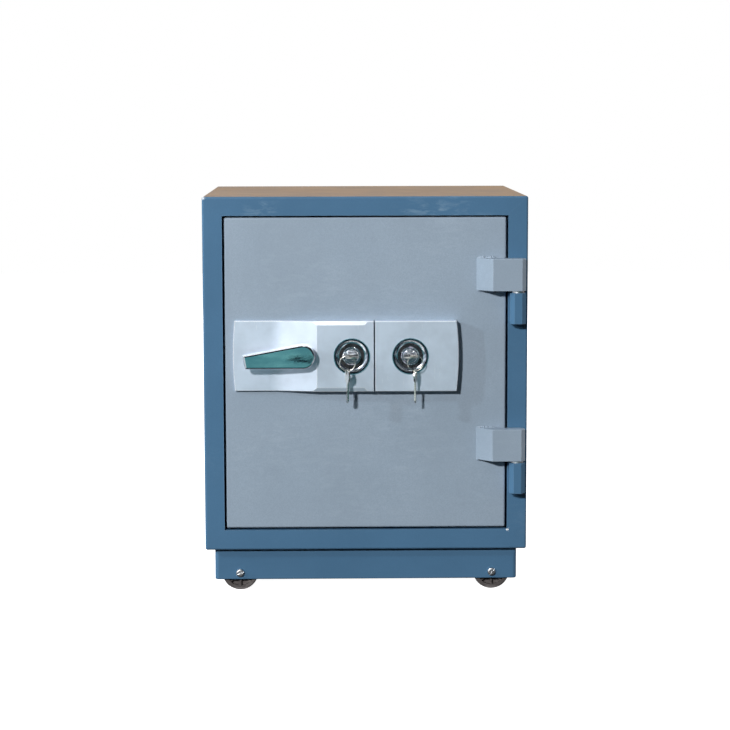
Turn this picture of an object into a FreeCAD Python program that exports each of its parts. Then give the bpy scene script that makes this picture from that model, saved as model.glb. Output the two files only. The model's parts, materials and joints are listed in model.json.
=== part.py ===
"""A small fire-resisting safe on four wheels, with a lever, two key locks and a door hinged on the right.

Pieces are drawn in a working frame: X to the right, Y from the front of the body towards its back, Z up from
the bottom edge of the body. They are moved on export so that the origin is on the floor, under the middle of
the whole safe. The door is shut, its bolts are drawn in and the lever lies level.
"""

import FreeCAD, Part
import math
import os

from FreeCAD import Vector

# ---- Driving dimensions, in millimetres ----------------------------------------------------------

# Body and the walls round its cavity
body_w = 470.0
body_d = 425.0
body_h = 516.0
casing_t = 2.0
casing_r = 3.0
wall_side = 60.0
wall_top = 60.0
wall_bottom = 60.0
wall_rear = 60.0
liner_t = 1.5
rear_rim = 10.0  # depth of the rear panel's folded rim
rear_corner_r = 12.0

# Frame band round the door, and the jamb behind it
band_side = 28.5
band_top = 27.5
band_bottom = 29.5
jamb_t = 2.0

# Door slab
door_recess = 1.0
door_t = 34.0
door_sheet = 2.0
door_edge_r = 2.5
gap_right = 3.0
gap_top = 2.5
gap_bottom = 3.2
seal_t = 3.0
seal_w = 12.0
seal_r = 1.2
seal_inset = 6.0
seal_gap = 0.5

# Cover of the mechanism behind the door
cover_depth = 42.0
cover_t = 1.5
cover_gap_z = 6.0
cover_flange = 10.0
cover_r = 2.5

# Hinges: a knuckle on the frame, a block on the door above it
hinge_inset = 12.9  # from the edge of the opening to the pin
hinge_r = 12.4  # the circle that holds the corners of a knuckle
hinge_side_turn = 23.5  # degrees from the side to the first corner on that circle
hinge_front_turn = 26.0  # degrees from the front to the second corner
hinge_foot = 58.5  # from the pin to the thin end of the door block
hinge_ridge = 36.4  # from the pin to the ridge of the door block
knuckle_h = 45.0
block_h = 46.5
foot_end_t = 1.2  # of the door block at its thin end
hinge_edge = 0.6
pin_r = 6.0
pin_chamfer = 1.0
pin_end = 5.0  # metal left past each end of the pin
hinge_washer_t = 2.8
hinge_washer_r = 9.0
hinge_below_top = 108.4  # from the top of the door to the top of the upper knuckle
hinge_above_bottom = 97.6  # from the bottom of the door to the top of the lower knuckle

# Clearances
swing_clear = 0.5  # left edge of the door past the frame
cover_clear = 1.5  # left edge of the mechanism cover past the cavity wall
hinge_clear = 1.0  # knuckle of the door past the frame
run_clear = 0.05  # radial, of a pin or shaft that turns
slide_clear = 0.1  # radial, of a bolt in its guide
axial_clear = 0.2  # at each end of a piece that turns
slot_clear = 0.6  # each side of a pin in a slot
key_clear = 0.2  # round a key's blade
hole_clear = 0.5  # radial, of a shaft through a sheet or the fill

# Lever and spindle, from the left edge of the door and from the middle of its height
spindle_inset = 113.0
spindle_above_locks = 1.5
spindle_r = 6.0
circlip_t = 1.2
circlip_depth = 0.6
circlip_proud = 2.2
circlip_gap = 4.0
lever_hub_r = 17.5
lever_neck_r = 12.0
lever_t = 14.0
lever_stand = 5.0  # back of the lever in front of the thick part of its plate
lever_reach_low = 83.0
lever_reach_high = 86.6
lever_tip_rise = 1.9
lever_front_r = 3.2
lever_back_r = 1.0
bush_wall = 3.0
bush_flange = 3.0
bush_length = 7.0

# Plates on the door
plate_h = 102.0
plate_thin = 6.0
plate_thick = 17.0
plate_wall = 2.5
plate_left_of_spindle = 98.8
plate_crease = 35.2  # left of the spindle, where the plate begins to rise
plate_crease_r = 110.0  # the hollow curve in which the rise begins
plate_ridge = 20.1  # right of the spindle, where the plate is at full height
plate_right_of_spindle = 102.15
plate_bow_left = 2.7
plate_bow_right = 3.1
plate_seam = 2.0
plate_right_of_lock = 66.85
plate_edge = 0.8
bevel_h = 5.5
bevel_depth = 1.4
bevel_end = 8.5  # width of the rib at full height, beside the seam
locks_above_middle = 27.0
plate_screw_inset = 13.0

# Locks
lock_from_spindle = 70.4
lock_pitch = 84.5
dish_r = 25.3
dish_lip = 1.1
dish_lip_t = 0.6
dish_bowl_r = 7.0
dish_floor_t = 2.0
collar_t = 1.9
cylinder_r = 13.5
cylinder_recess = 3.0
cylinder_flange = 3.5
cylinder_tail = 7.0  # behind the back plate
nut_wall = 2.5
nut_t = 5.0
plug_r = 11.0
plug_tail_r = 5.0
plug_rim = 0.6
plug_ring_inset = 1.6
plug_ring_w = 0.8
plug_ring_depth = 0.5
cam_t = 3.0
cam_w = 8.0
cam_r = 16.0
cam_hub_r = 8.0

# Keys and rings
key_t = 2.0
key_blade_w = 7.4
key_blade_l = 28.0
key_bow_r = 10.5
key_shoulder = 1.5  # between the plug's face and the bow
key_tip = 1.0  # of the tip's slanted end, on the side of the bits
key_hole_r = 3.6
key_hole_edge = 6.0  # from the rim of the bow to the middle of its hole
key_groove_w = 1.4
key_groove_t = 0.5
key_groove_off = 0.5  # from the middle of the blade to the middle of the groove
key_bits = 5
key_bits_inset = 5.0  # from the shoulder and from the tip to the nearest bit
key_bit_least = 1.0
key_bit_step = 0.7  # more depth in each deeper kind of bit
key_bit_flare = 0.4
ring_r = 11.1
ring_wire_r = 0.85
ring_gap = 0.4  # between a ring and the bow that it hangs on or carries
spare_twist_left = 16.0
spare_twist_right = -12.0

# Bolt work
bolt_r = 10.0
bolt_chamfer = 1.5
bolt_count = 3
bolt_end_gap = 40.5  # from the outermost guide to the inside of the cover
bolt_behind_door = 21.0
bolt_short = 1.0  # the tip stays this far inside the cover
crank_r = 28.0
crank_swing = 60.0  # degrees, from one side of upright to the other
crank_t = 5.0
crank_hub_r = 11.0
crank_arm_w = 14.0
crank_pin_r = 4.0
carriage_t = 4.0
carriage_bar_w = 10.0
carriage_bar_t = 20.0
carriage_bar_past = 16.0
carriage_arm_h = 38.0
carriage_arm_end = 12.0
carriage_gap = 2.0  # between a cam's hub and the arm above it
notch_clear = 1.5
notch_past = 2.0
guide_w = 16.0
guide_h = 40.0
guide_t = 35.0
guide_screw_r = 2.0
guide_screw_edge = 4.5
stud_r = 4.0
stud_shoulder_r = 8.0
stud_head_t = 2.5
stud_left_of_lock = 30.0
stud_right_of_lock = 5.6
stud_below_top = 12.0
dog_r = 9.0
dog_chamfer = 1.5
dog_reach = 8.0  # past the wall of the cavity
dog_flange_r = 13.0
dog_flange_t = 4.0
cup_wall = 2.0
cup_clear = 1.5
cup_end_clear = 3.0
dog_box_clear = 4.0

# Shelf
shelf_t = 1.5
shelf_lip = 15.0
shelf_gap = 1.5
shelf_front_gap = 12.0
peg_r = 4.0
peg_l = 8.0
peg_inset = 40.0

# Plinth and wheels
wheel_top_gap = 10.0  # from the top of a wheel to the body
plinth_setback = 12.0
plinth_side = 13.2
plinth_t = 2.0
plinth_r = 6.0
plinth_edge_r = 1.8  # along the bottom edge
plinth_flange = 15.0
floor_gap = 16.5
wheel_d = 53.0
wheel_w = 22.0
wheel_inset = 50.0  # from the side of the body to the axle
wheel_rim = 6.0
wheel_crown = 2.5
wheel_hub_r = 9.0
wheel_web_t = 7.0
wheel_ribs = 8
wheel_rib_w = 2.4
wheel_rib_recess = 2.0
axle_r = 4.0
axle_head_r = 6.0
axle_head_t = 3.6
axle_round = 0.6  # share of the head's thickness that is rounded
axle_slot_w = 1.8
axle_slot_depth = 1.7
axle_slot_turns = (20.0, 50.0, 35.0, 65.0)  # degrees from level, one for each axle
axle_nut_af = 13.0
axle_nut_t = 6.5
axle_end = 1.5  # of the axle past its nut
spacer_t = 2.8
spacer_r = 8.0
rail_t = 3.0
rail_flange = 22.0
rail_above_plinth = 3.0

# Screws
cover_screw_r = 2.0
cover_screw_head_r = 3.6
cover_screw_head_t = 1.6
cover_screws_per_side = 4
plate_screw_r = 2.5
plate_screw_head_r = 4.5
plate_screw_head_t = 3.0
boss_r = 5.0
bolt_screw_r = 3.0
bolt_screw_head_r = 5.0
bolt_screw_head_t = 3.5
bolt_screw_depth = 14.0
drive_share = 0.45  # across a hexagonal drive, as a share of its head's diameter
drive_depth = 0.6  # as a share of the head's thickness
head_round = 0.45  # rounding of a head, as a share of its thickness

touch = 1e-4  # two faces this near are in one plane
past = 1.0  # a cutting tool reaches this far past what it cuts

# ---- Places worked out from the driving dimensions -----------------------------------------------

open_x = body_w / 2 - band_side
open_z0 = band_bottom
open_z1 = body_h - band_top

hinge_x = open_x + hinge_inset
hinge_y = -(hinge_r + hinge_clear)

door_y0 = door_recess
door_y1 = door_y0 + door_t
seat_y = door_y1 + seal_t + seal_gap
cover_y = door_y1 + cover_depth

cavity_x = body_w / 2 - wall_side
cavity_y0 = seat_y + jamb_t
cavity_y1 = body_d - wall_rear
cavity_z0 = wall_bottom
cavity_z1 = body_h - wall_top


def half_width_for_swing(wall_x, wall_y, corner_y, clear):
    """Half-width at which a corner at depth corner_y swings clear of a left wall starting at depth wall_y."""
    reach = hinge_x + wall_x - clear
    return math.sqrt(reach ** 2 + (wall_y - hinge_y) ** 2 - (corner_y - hinge_y) ** 2) - hinge_x


door_left = -half_width_for_swing(open_x, 0, door_y1, swing_clear)
door_right = open_x - gap_right
door_z0 = open_z0 + gap_bottom
door_z1 = open_z1 - gap_top
door_middle = (door_z0 + door_z1) / 2

cover_x = half_width_for_swing(cavity_x, seat_y, cover_y, cover_clear)
cover_z0 = cavity_z0 + cover_gap_z
cover_z1 = cavity_z1 - cover_gap_z

spindle_x = door_left + spindle_inset
lock_z = door_middle + locks_above_middle
spindle_z = lock_z + spindle_above_locks
lock_xs = (spindle_x + lock_from_spindle, spindle_x + lock_from_spindle + lock_pitch)
plate_z0 = lock_z - plate_h / 2
plate_z1 = lock_z + plate_h / 2
plate_x0 = spindle_x - plate_left_of_spindle
plate_x1 = spindle_x + plate_right_of_spindle
second_x0 = plate_x1 + plate_seam
second_x1 = lock_xs[1] + plate_right_of_lock
plate_face = door_y0 - plate_thick

lever_back = plate_face - lever_stand
lever_front = lever_back - lever_t
spindle_y0 = lever_front + lever_t / 3

cylinder_face = plate_face + cylinder_recess
cylinder_end = door_y1 + cylinder_tail
dish_floor = plate_face - dish_lip_t + dish_bowl_r

bow_y = cylinder_face - key_shoulder - key_bow_r
ring_y = bow_y - key_bow_r + key_hole_edge
bow_half = math.sqrt(key_bow_r ** 2 - (key_bow_r - key_hole_edge) ** 2)
ring_off = (bow_half + key_hole_r) / 2
ring_grip = (bow_half - key_hole_r) / 2
ring_z = lock_z + key_t / 2 + ring_gap - math.sqrt((ring_r - ring_wire_r) ** 2 - ring_grip ** 2)
spare_hole_z = ring_z - ring_r - (key_hole_r - ring_wire_r - ring_gap)

bolt_y = door_y1 + bolt_behind_door
travel = 2 * crank_r * math.sin(math.radians(crank_swing / 2))
bolt_middle = (cavity_z0 + cavity_z1) / 2
bolt_half_span = (cover_z1 - cover_z0) / 2 - cover_t - bolt_end_gap - guide_h / 2
bolt_pitch = 2 * bolt_half_span / (bolt_count - 1)
bolt_zs = [bolt_middle + bolt_pitch * (i - (bolt_count - 1) / 2) for i in range(bolt_count)]
bolt_tip = -cover_x + bolt_short
bar_x1 = spindle_x - crank_hub_r - hole_clear - carriage_gap
bar_x0 = bar_x1 - carriage_bar_w
carriage_y0 = bolt_y - carriage_t / 2 - carriage_t
carriage_y1 = carriage_y0 + carriage_t
arm_z0 = lock_z + cam_hub_r + carriage_gap
arm_z1 = arm_z0 + carriage_arm_h
cam_y0 = carriage_y0 + (carriage_t - cam_t) / 2
crank_y0 = carriage_y1 + stud_head_t + hole_clear * 2
stud_z = arm_z1 - stud_below_top
stud_xs = (lock_xs[0] - stud_left_of_lock, lock_xs[1] + stud_right_of_lock)
cam_corner = math.hypot(cam_r, cam_w / 2)
notch_left = -cam_w / 2 - slot_clear
notch_right = math.sqrt(cam_corner ** 2 - (arm_z0 - lock_z) ** 2) + notch_past
arm_x1 = lock_xs[1] + travel + notch_right + carriage_arm_end

plinth_h = wheel_d + wheel_top_gap - floor_gap
axle_z = -wheel_top_gap - wheel_d / 2
wheel_x = body_w / 2 - wheel_inset
wheel_span = wheel_w + 2 * (spacer_t + axial_clear)
plinth_x = body_w / 2 - plinth_side
plinth_ends = (plinth_setback, body_d - plinth_setback)

body_z = floor_gap + plinth_h
front_reach = key_bow_r - ring_y
place = Vector(0, (front_reach - body_d) / 2, body_z)


# ---- Shapes --------------------------------------------------------------------------------------


def box(x0, x1, y0, y1, z0, z1):
    return Part.makeBox(x1 - x0, y1 - y0, z1 - z0, Vector(x0, y0, z0))


def rod_x(radius, x0, x1, y, z):
    return Part.makeCylinder(radius, x1 - x0, Vector(x0, y, z), Vector(1, 0, 0))


def rod_y(radius, y0, y1, x, z):
    return Part.makeCylinder(radius, y1 - y0, Vector(x, y0, z), Vector(0, 1, 0))


def rod_z(radius, z0, z1, x, y):
    return Part.makeCylinder(radius, z1 - z0, Vector(x, y, z0), Vector(0, 0, 1))


def prism(points, along):
    """The closed outline through the points, pushed along a vector."""
    wire = Part.makePolygon(points + points[:1])
    return Part.Face(wire).extrude(along)


def prism_x(yz, x0, x1):
    return prism([Vector(x0, y, z) for y, z in yz], Vector(x1 - x0, 0, 0))


def prism_y(xz, y0, y1):
    return prism([Vector(x, y0, z) for x, z in xz], Vector(0, y1 - y0, 0))


def prism_z(xy, z0, z1):
    return prism([Vector(x, y, z0) for x, y in xy], Vector(0, 0, z1 - z0))


def hexagon_y(across, y0, y1, x, z):
    corner = across / math.sqrt(3)
    points = []
    for i in range(6):
        turn = math.radians(60 * i + 30)
        points.append((x + corner * math.cos(turn), z + corner * math.sin(turn)))
    return prism_y(points, y0, y1)


def turned_y(edges, x, z):
    """A profile of edges in radius and Y, turned about the line through x, z along Y."""
    solid = Part.Face(Part.Wire(edges)).revolve(Vector(0, 0, 0), Vector(0, 1, 0), 360)
    solid.translate(Vector(x, 0, z))
    return solid


def lines(points):
    """Straight edges through the points, each (radius, y)."""
    vectors = [Vector(r, y, 0) for r, y in points]
    return [Part.makeLine(a, b) for a, b in zip(vectors, vectors[1:])]


def joined(shapes):
    return shapes[0].multiFuse(shapes[1:]).removeSplitter()


def less(shape, tools):
    return shape.cut(tools)


def flat_edges(shape, axis, value):
    """Edges that lie in the plane where the coordinate on that axis has this value."""
    found = []
    for edge in shape.Edges:
        bounds = edge.BoundBox
        low = getattr(bounds, axis + "Min")
        high = getattr(bounds, axis + "Max")
        if abs(low - value) < touch and abs(high - value) < touch:
            found.append(edge)
    return found


def edges_along(shape, axis, shortest=0.0):
    """Straight edges parallel to an axis, over a length."""
    direction = {"X": Vector(1, 0, 0), "Y": Vector(0, 1, 0), "Z": Vector(0, 0, 1)}[axis]
    found = []
    for edge in shape.Edges:
        if edge.Length < shortest or not isinstance(edge.Curve, Part.Line):
            continue
        if edge.tangentAt(edge.FirstParameter).cross(direction).Length < touch:
            found.append(edge)
    return found


def rounded_box(x0, x1, y0, y1, z0, z1, radius, axis):
    """A box with the four edges along one axis rounded."""
    block = box(x0, x1, y0, y1, z0, z1)
    return block.makeFillet(radius, edges_along(block, axis))


def drive(radius, depth, y, x, z):
    """The hexagonal socket of a screw whose head faces along +Y and ends at y."""
    return hexagon_y(2 * radius * drive_share, y - depth, y + past, x, z)


def screw_y(shank_r, head_r, head_t, y_head, y_end, x, z):
    """A screw along Y, with its head on the +Y side, from y_head, and its shank down to y_end."""
    head = rod_y(head_r, y_head, y_head + head_t, x, z)
    head = head.makeFillet(head_t * head_round, flat_edges(head, "Y", y_head + head_t))
    body = joined([head, rod_y(shank_r, y_end, y_head, x, z)])
    return less(body, drive(head_r, head_t * drive_depth, y_head + head_t, x, z))


def export(name, *solids):
    shape = solids[0] if len(solids) == 1 else Part.makeCompound(list(solids))
    shape = shape.copy()
    shape.translate(place)
    shape.exportStep("parts/" + name + ".step")


# ---- Body ----------------------------------------------------------------------------------------


def outer_casing():
    half = body_w / 2
    block = box(-half, half, 0, body_d, 0, body_h)
    rims = edges_along(block, "Y") + flat_edges(block, "Y", 0)
    block = block.makeFillet(casing_r, rims)
    inside = box(
        -half + casing_t, half - casing_t, casing_t, body_d + past, casing_t, body_h - casing_t
    )
    opening = box(-open_x, open_x, -past, casing_t + past, open_z0, open_z1)
    return less(block, [inside, opening])


def rear_panel():
    """A tray set into the casing, its rim turned back to finish level with it."""
    half = body_w / 2 - casing_t
    low = casing_t
    high = body_h - casing_t
    tray = box(-half, half, body_d - rear_rim - casing_t, body_d, low, high)
    hollow = rounded_box(
        -half + casing_t,
        half - casing_t,
        body_d - rear_rim,
        body_d + past,
        low + casing_t,
        high - casing_t,
        rear_corner_r,
        "Y",
    )
    return less(tray, [hollow])


def jamb_frame():
    """Steel round the door slab, then the seat that steps in to the cavity."""
    outer = box(
        -open_x - jamb_t, open_x + jamb_t, casing_t, cavity_y0, open_z0 - jamb_t, open_z1 + jamb_t
    )
    slab_room = box(-open_x, open_x, 0, seat_y, open_z0, open_z1)
    way_in = box(-cavity_x, cavity_x, 0, cavity_y0 + past, cavity_z0, cavity_z1)
    return less(outer, [slab_room, way_in])


def dog_room_y():
    """Depths between which a fixed dog's pocket is open, to let it swing out."""
    return cavity_y0, bolt_y + dog_r + dog_box_clear


def dog_room(x0, x1, z, spare):
    low, high = dog_room_y()
    half = dog_r + dog_box_clear + spare
    return box(x0, x1, low, high + spare, z - half, z + half)


def inner_liner():
    grown = liner_t
    outer = box(
        -cavity_x - grown,
        cavity_x + grown,
        cavity_y0,
        cavity_y1 + grown,
        cavity_z0 - grown,
        cavity_z1 + grown,
    )
    cavity = box(-cavity_x, cavity_x, 0, cavity_y1, cavity_z0, cavity_z1)
    tools = [cavity]
    for z in bolt_zs:
        tools.append(rod_x(bolt_r + cup_clear, -cavity_x - liner_t - past, -cavity_x + past, bolt_y, z))
        tools.append(dog_room(cavity_x - past, cavity_x + liner_t + past, z, 0))
    return less(outer, tools)


def cup_depth():
    """How far a pocket reaches from the liner, to hold a thrown bolt."""
    return -bolt_tip + travel - cavity_x - liner_t + cup_end_clear


def strike_cup(z):
    x1 = -cavity_x - liner_t
    x0 = x1 - cup_depth() - cup_wall
    tube = rod_x(bolt_r + cup_clear + cup_wall, x0, x1, bolt_y, z)
    return less(tube, [rod_x(bolt_r + cup_clear, x0 + cup_wall, x1 + past, bolt_y, z)])


def dog_box(z):
    """A pocket in the hinge side of the wall, closed in front by the seat of the jamb."""
    x0 = cavity_x + liner_t
    x1 = cavity_x + dog_reach + cup_end_clear
    shell = dog_room(x0, x1 + liner_t, z, liner_t)
    return less(shell, [dog_room(x0 - past, x1, z, 0)])


def fire_fill():
    half = body_w / 2 - casing_t
    rear = body_d - rear_rim - casing_t
    block = box(-half, half, casing_t, rear, casing_t, body_h - casing_t)
    tools = [
        box(
            -open_x - jamb_t, open_x + jamb_t, 0, cavity_y0, open_z0 - jamb_t, open_z1 + jamb_t
        ),
        box(
            -cavity_x - liner_t,
            cavity_x + liner_t,
            0,
            cavity_y1 + liner_t,
            cavity_z0 - liner_t,
            cavity_z1 + liner_t,
        ),
    ]
    for z in bolt_zs:
        x1 = -cavity_x - liner_t
        x0 = x1 - cup_depth() - cup_wall
        tools.append(rod_x(bolt_r + cup_clear + cup_wall, x0, x1 + past, bolt_y, z))
        pocket_end = cavity_x + dog_reach + cup_end_clear + liner_t
        tools.append(dog_room(cavity_x, pocket_end, z, liner_t))
    return less(block, tools)


def shelf():
    """A sheet with its front and back edges folded down, resting on four pegs."""
    half = cavity_x - shelf_gap
    y0 = cover_y + shelf_front_gap
    y1 = cavity_y1 - shelf_gap
    top = bolt_middle
    tray = box(-half, half, y0, y1, top - shelf_lip, top)
    under = box(-half - past, half + past, y0 + shelf_t, y1 - shelf_t, top - shelf_lip - past, top - shelf_t)
    tray = less(tray, [under])
    front_top = [edge for edge in flat_edges(tray, "Y", y0) if abs(edge.BoundBox.ZMin - top) < touch]
    return tray.makeFillet(shelf_t, front_top)


def shelf_pegs():
    z = bolt_middle - shelf_t - peg_r
    y0 = cover_y + shelf_front_gap + peg_inset
    y1 = cavity_y1 - shelf_gap - peg_inset
    pegs = []
    for y in (y0, y1):
        pegs.append(rod_x(peg_r, -cavity_x, -cavity_x + peg_l, y, z))
        pegs.append(rod_x(peg_r, cavity_x - peg_l, cavity_x, y, z))
    return pegs


# ---- Plinth and wheels ---------------------------------------------------------------------------


def axle_ends():
    """Y of each plinth wall's outer face, with the way that leads inwards from it."""
    return ((plinth_ends[0], 1), (plinth_ends[1], -1))


def rod_in(radius, face, inward, near, far, x, z):
    """A rod along Y, between two distances inwards from a plinth wall's outer face."""
    ends = sorted((face + inward * near, face + inward * far))
    return rod_y(radius, ends[0], ends[1], x, z)


def plinth():
    y0, y1 = plinth_ends
    outer = rounded_box(-plinth_x, plinth_x, y0, y1, -plinth_h, 0, plinth_r, "Z")
    outer = outer.makeFillet(plinth_edge_r, flat_edges(outer, "Z", -plinth_h))
    inside = rounded_box(
        -plinth_x + plinth_t,
        plinth_x - plinth_t,
        y0 + plinth_t,
        y1 - plinth_t,
        -plinth_h - past,
        -plinth_t,
        plinth_r - plinth_t,
        "Z",
    )
    reach = plinth_t + plinth_flange
    window = box(-plinth_x + reach, plinth_x - reach, y0 + reach, y1 - reach, -plinth_h, past)
    tools = [inside, window]
    for face, inward in axle_ends():
        for x in (-wheel_x, wheel_x):
            tools.append(rod_in(axle_r, face, inward, -past, plinth_t + past, x, axle_z))
    return less(outer, tools)


def wheel_rail(face, inward):
    """An angle across the plinth: an upright web that holds the axles, and a flange under the body."""
    half = plinth_x - plinth_t
    near = plinth_t + wheel_span
    web_ends = sorted((face + inward * near, face + inward * (near + rail_t)))
    flange_ends = sorted((face + inward * near, face + inward * (near + rail_flange)))
    web = box(-half, half, web_ends[0], web_ends[1], -plinth_h + rail_above_plinth, -plinth_t)
    flange = box(-half, half, flange_ends[0], flange_ends[1], -plinth_t - rail_t, -plinth_t)
    holes = []
    for x in (-wheel_x, wheel_x):
        holes.append(rod_in(axle_r, face, inward, near - past, near + rail_t + past, x, axle_z))
    return less(joined([web, flange]), holes)


def axle_bolt(face, inward, x, slot_turn):
    """An axle with a domed, slotted head outside the plinth."""
    end = plinth_t + wheel_span + rail_t + axle_nut_t + axle_end
    head_y = face - inward * axle_head_t
    head = rod_in(axle_head_r, face, inward, -axle_head_t, 0, x, axle_z)
    head = head.makeFillet(axle_head_t * axle_round, flat_edges(head, "Y", head_y))
    ends = sorted((head_y - inward * past, head_y + inward * axle_slot_depth))
    half = axle_slot_w / 2
    slot = box(-axle_head_r - past, axle_head_r + past, ends[0], ends[1], -half, half)
    slot.rotate(Vector(0, 0, 0), Vector(0, -1, 0), slot_turn)
    slot.translate(Vector(x, 0, axle_z))
    return less(joined([head, rod_in(axle_r, face, inward, 0, end, x, axle_z)]), [slot])


def axle_nut(face, inward, x):
    near = plinth_t + wheel_span + rail_t
    ends = sorted((face + inward * near, face + inward * (near + axle_nut_t)))
    nut = hexagon_y(axle_nut_af, ends[0], ends[1], x, axle_z)
    return less(nut, [rod_in(axle_r, face, inward, near - past, near + axle_nut_t + past, x, axle_z)])


def axle_spacer(face, inward, near, x):
    ring = rod_in(spacer_r, face, inward, near, near + spacer_t, x, axle_z)
    return less(ring, [rod_in(axle_r, face, inward, near - past, near + spacer_t + past, x, axle_z)])


def wheel(face, inward, x):
    """A moulded wheel: rim and hub at full width, a thin web between them and ribs on both sides."""
    near = plinth_t + spacer_t + axial_clear
    middle = near + wheel_w / 2
    radius = wheel_d / 2
    rim = rod_in(radius, face, inward, near, near + wheel_w, x, axle_z)
    far = near + wheel_w
    crown = flat_edges(rim, "Y", face + inward * near) + flat_edges(rim, "Y", face + inward * far)
    rim = rim.makeFillet(wheel_crown, crown)
    rim = less(rim, [rod_in(radius - wheel_rim, face, inward, near - past, far + past, x, axle_z)])
    web_half = wheel_web_t / 2
    web = rod_in(radius - wheel_rim, face, inward, middle - web_half, middle + web_half, x, axle_z)
    hub = rod_in(wheel_hub_r, face, inward, near, near + wheel_w, x, axle_z)
    rib_near = near + wheel_rib_recess
    rib_far = near + wheel_w - wheel_rib_recess
    ends = sorted((face + inward * rib_near, face + inward * rib_far))
    pieces = [rim, web, hub]
    for i in range(wheel_ribs):
        rib = box(
            wheel_hub_r / 2,
            radius - wheel_rim / 2,
            ends[0],
            ends[1],
            -wheel_rib_w / 2,
            wheel_rib_w / 2,
        )
        rib.rotate(Vector(0, 0, 0), Vector(0, 1, 0), i * 360 / wheel_ribs)
        rib.translate(Vector(x, 0, axle_z))
        pieces.append(rib)
    bore = rod_in(axle_r + run_clear, face, inward, near - past, near + wheel_w + past, x, axle_z)
    return less(joined(pieces), [bore])


# ---- Hinges --------------------------------------------------------------------------------------

knuckle_tops = (door_z1 - hinge_below_top, door_z0 + hinge_above_bottom)


def hinge_corners():
    """The two front corners on the right of a knuckle, from the pin's axis."""
    side = math.radians(hinge_side_turn)
    front = math.radians(hinge_front_turn)
    return (
        (hinge_r * math.cos(side), -hinge_r * math.sin(side)),
        (hinge_r * math.sin(front), -hinge_r * math.cos(front)),
    )


def frame_knuckle(top):
    (side_x, side_y), (front_x, front_y) = hinge_corners()
    outline = [
        (-side_x, -hinge_y),
        (-side_x, side_y),
        (-front_x, front_y),
        (front_x, front_y),
        (side_x, side_y),
        (side_x, -hinge_y),
    ]
    placed = [(hinge_x + x, hinge_y + y) for x, y in outline]
    block = prism_z(placed, top - knuckle_h, top)
    ends = flat_edges(block, "Z", top) + flat_edges(block, "Z", top - knuckle_h)
    block = block.makeChamfer(hinge_edge, ends)
    return less(block, [rod_z(pin_r, top - knuckle_h + pin_end, top + past, hinge_x, hinge_y)])


def door_block(top):
    """Block welded to the door: a foot that rises to a ridge, then a knuckle round the pin."""
    (side_x, side_y), (front_x, front_y) = hinge_corners()
    low = top + hinge_washer_t
    high = low + block_h
    foot_right = door_right - door_edge_r - hinge_x
    outline = [
        (-hinge_foot, door_y0 - hinge_y),
        (-hinge_foot, door_y0 - hinge_y - foot_end_t),
        (-hinge_ridge, front_y),
        (front_x, front_y),
        (side_x, side_y),
        (side_x, -side_y),
        (front_x, -front_y),
        (foot_right, -front_y),
        (foot_right, door_y0 - hinge_y),
    ]
    placed = [(hinge_x + x, hinge_y + y) for x, y in outline]
    block = prism_z(placed, low, high)
    block = block.makeChamfer(hinge_edge, flat_edges(block, "Z", low) + flat_edges(block, "Z", high))
    bore_top = high - pin_end + axial_clear
    return less(block, [rod_z(pin_r + run_clear, low - past, bore_top, hinge_x, hinge_y)])


def hinge_pin(top):
    high = top + hinge_washer_t + block_h - pin_end
    pin = rod_z(pin_r, top - knuckle_h + pin_end, high, hinge_x, hinge_y)
    return pin.makeChamfer(pin_chamfer, flat_edges(pin, "Z", high))


def hinge_washer(top):
    high = top + hinge_washer_t - run_clear
    ring = rod_z(hinge_washer_r, top, high, hinge_x, hinge_y)
    return less(ring, [rod_z(pin_r, top - past, high + past, hinge_x, hinge_y)])


# ---- Door ----------------------------------------------------------------------------------------


def through_holes(y0, y1, spindle_hole, cylinder_hole):
    holes = [rod_y(spindle_hole, y0, y1, spindle_x, spindle_z)]
    for x in lock_xs:
        holes.append(rod_y(cylinder_hole, y0, y1, x, lock_z))
    return holes


def plate_screw_places():
    """Where the screws that hold the two plates go: four in the first and four in the second."""
    places = []
    for z in (plate_z0 + plate_screw_inset, plate_z1 - plate_screw_inset):
        places.append((plate_x0 + plate_bow_left + plate_screw_inset, z, plate_thin))
        places.append((plate_x1 - plate_screw_inset, z, plate_thick))
        places.append((second_x0 + plate_screw_inset, z, plate_thick))
        places.append((second_x1 - plate_bow_right - plate_screw_inset, z, plate_thick))
    return places


def plate_screws():
    head_y = door_y0 + door_sheet
    screws = []
    for x, z, proud in plate_screw_places():
        end = door_y0 - proud + plate_wall + hole_clear
        screws.append(
            screw_y(plate_screw_r, plate_screw_head_r, plate_screw_head_t, head_y, end, x, z)
        )
    return screws


def door_front_panel():
    tray = box(door_left, door_right, door_y0, door_y1, door_z0, door_z1)
    rims = edges_along(tray, "Y") + flat_edges(tray, "Y", door_y0)
    tray = tray.makeFillet(door_edge_r, rims)
    inside = box(
        door_left + door_sheet,
        door_right - door_sheet,
        door_y0 + door_sheet,
        door_y1 + past,
        door_z0 + door_sheet,
        door_z1 - door_sheet,
    )
    holes = through_holes(door_y0 - past, door_y0 + door_sheet + past, spindle_r + bush_wall, cylinder_r)
    for x, z, _ in plate_screw_places():
        holes.append(rod_y(plate_screw_r, door_y0 - past, door_y0 + door_sheet + past, x, z))
    return less(tray, [inside] + holes)


def slab_inside(y0, y1):
    return box(
        door_left + door_sheet, door_right - door_sheet, y0, y1, door_z0 + door_sheet, door_z1 - door_sheet
    )


def door_fill():
    y0 = door_y0 + door_sheet
    y1 = door_y1 - door_sheet
    tools = through_holes(y0 - past, y1 + past, spindle_r + bush_wall + hole_clear, cylinder_r + hole_clear)
    for x, z, _ in plate_screw_places():
        tools.append(rod_y(plate_screw_head_r, y0 - past, y0 + plate_screw_head_t, x, z))
    return less(slab_inside(y0, y1), tools)


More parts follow.
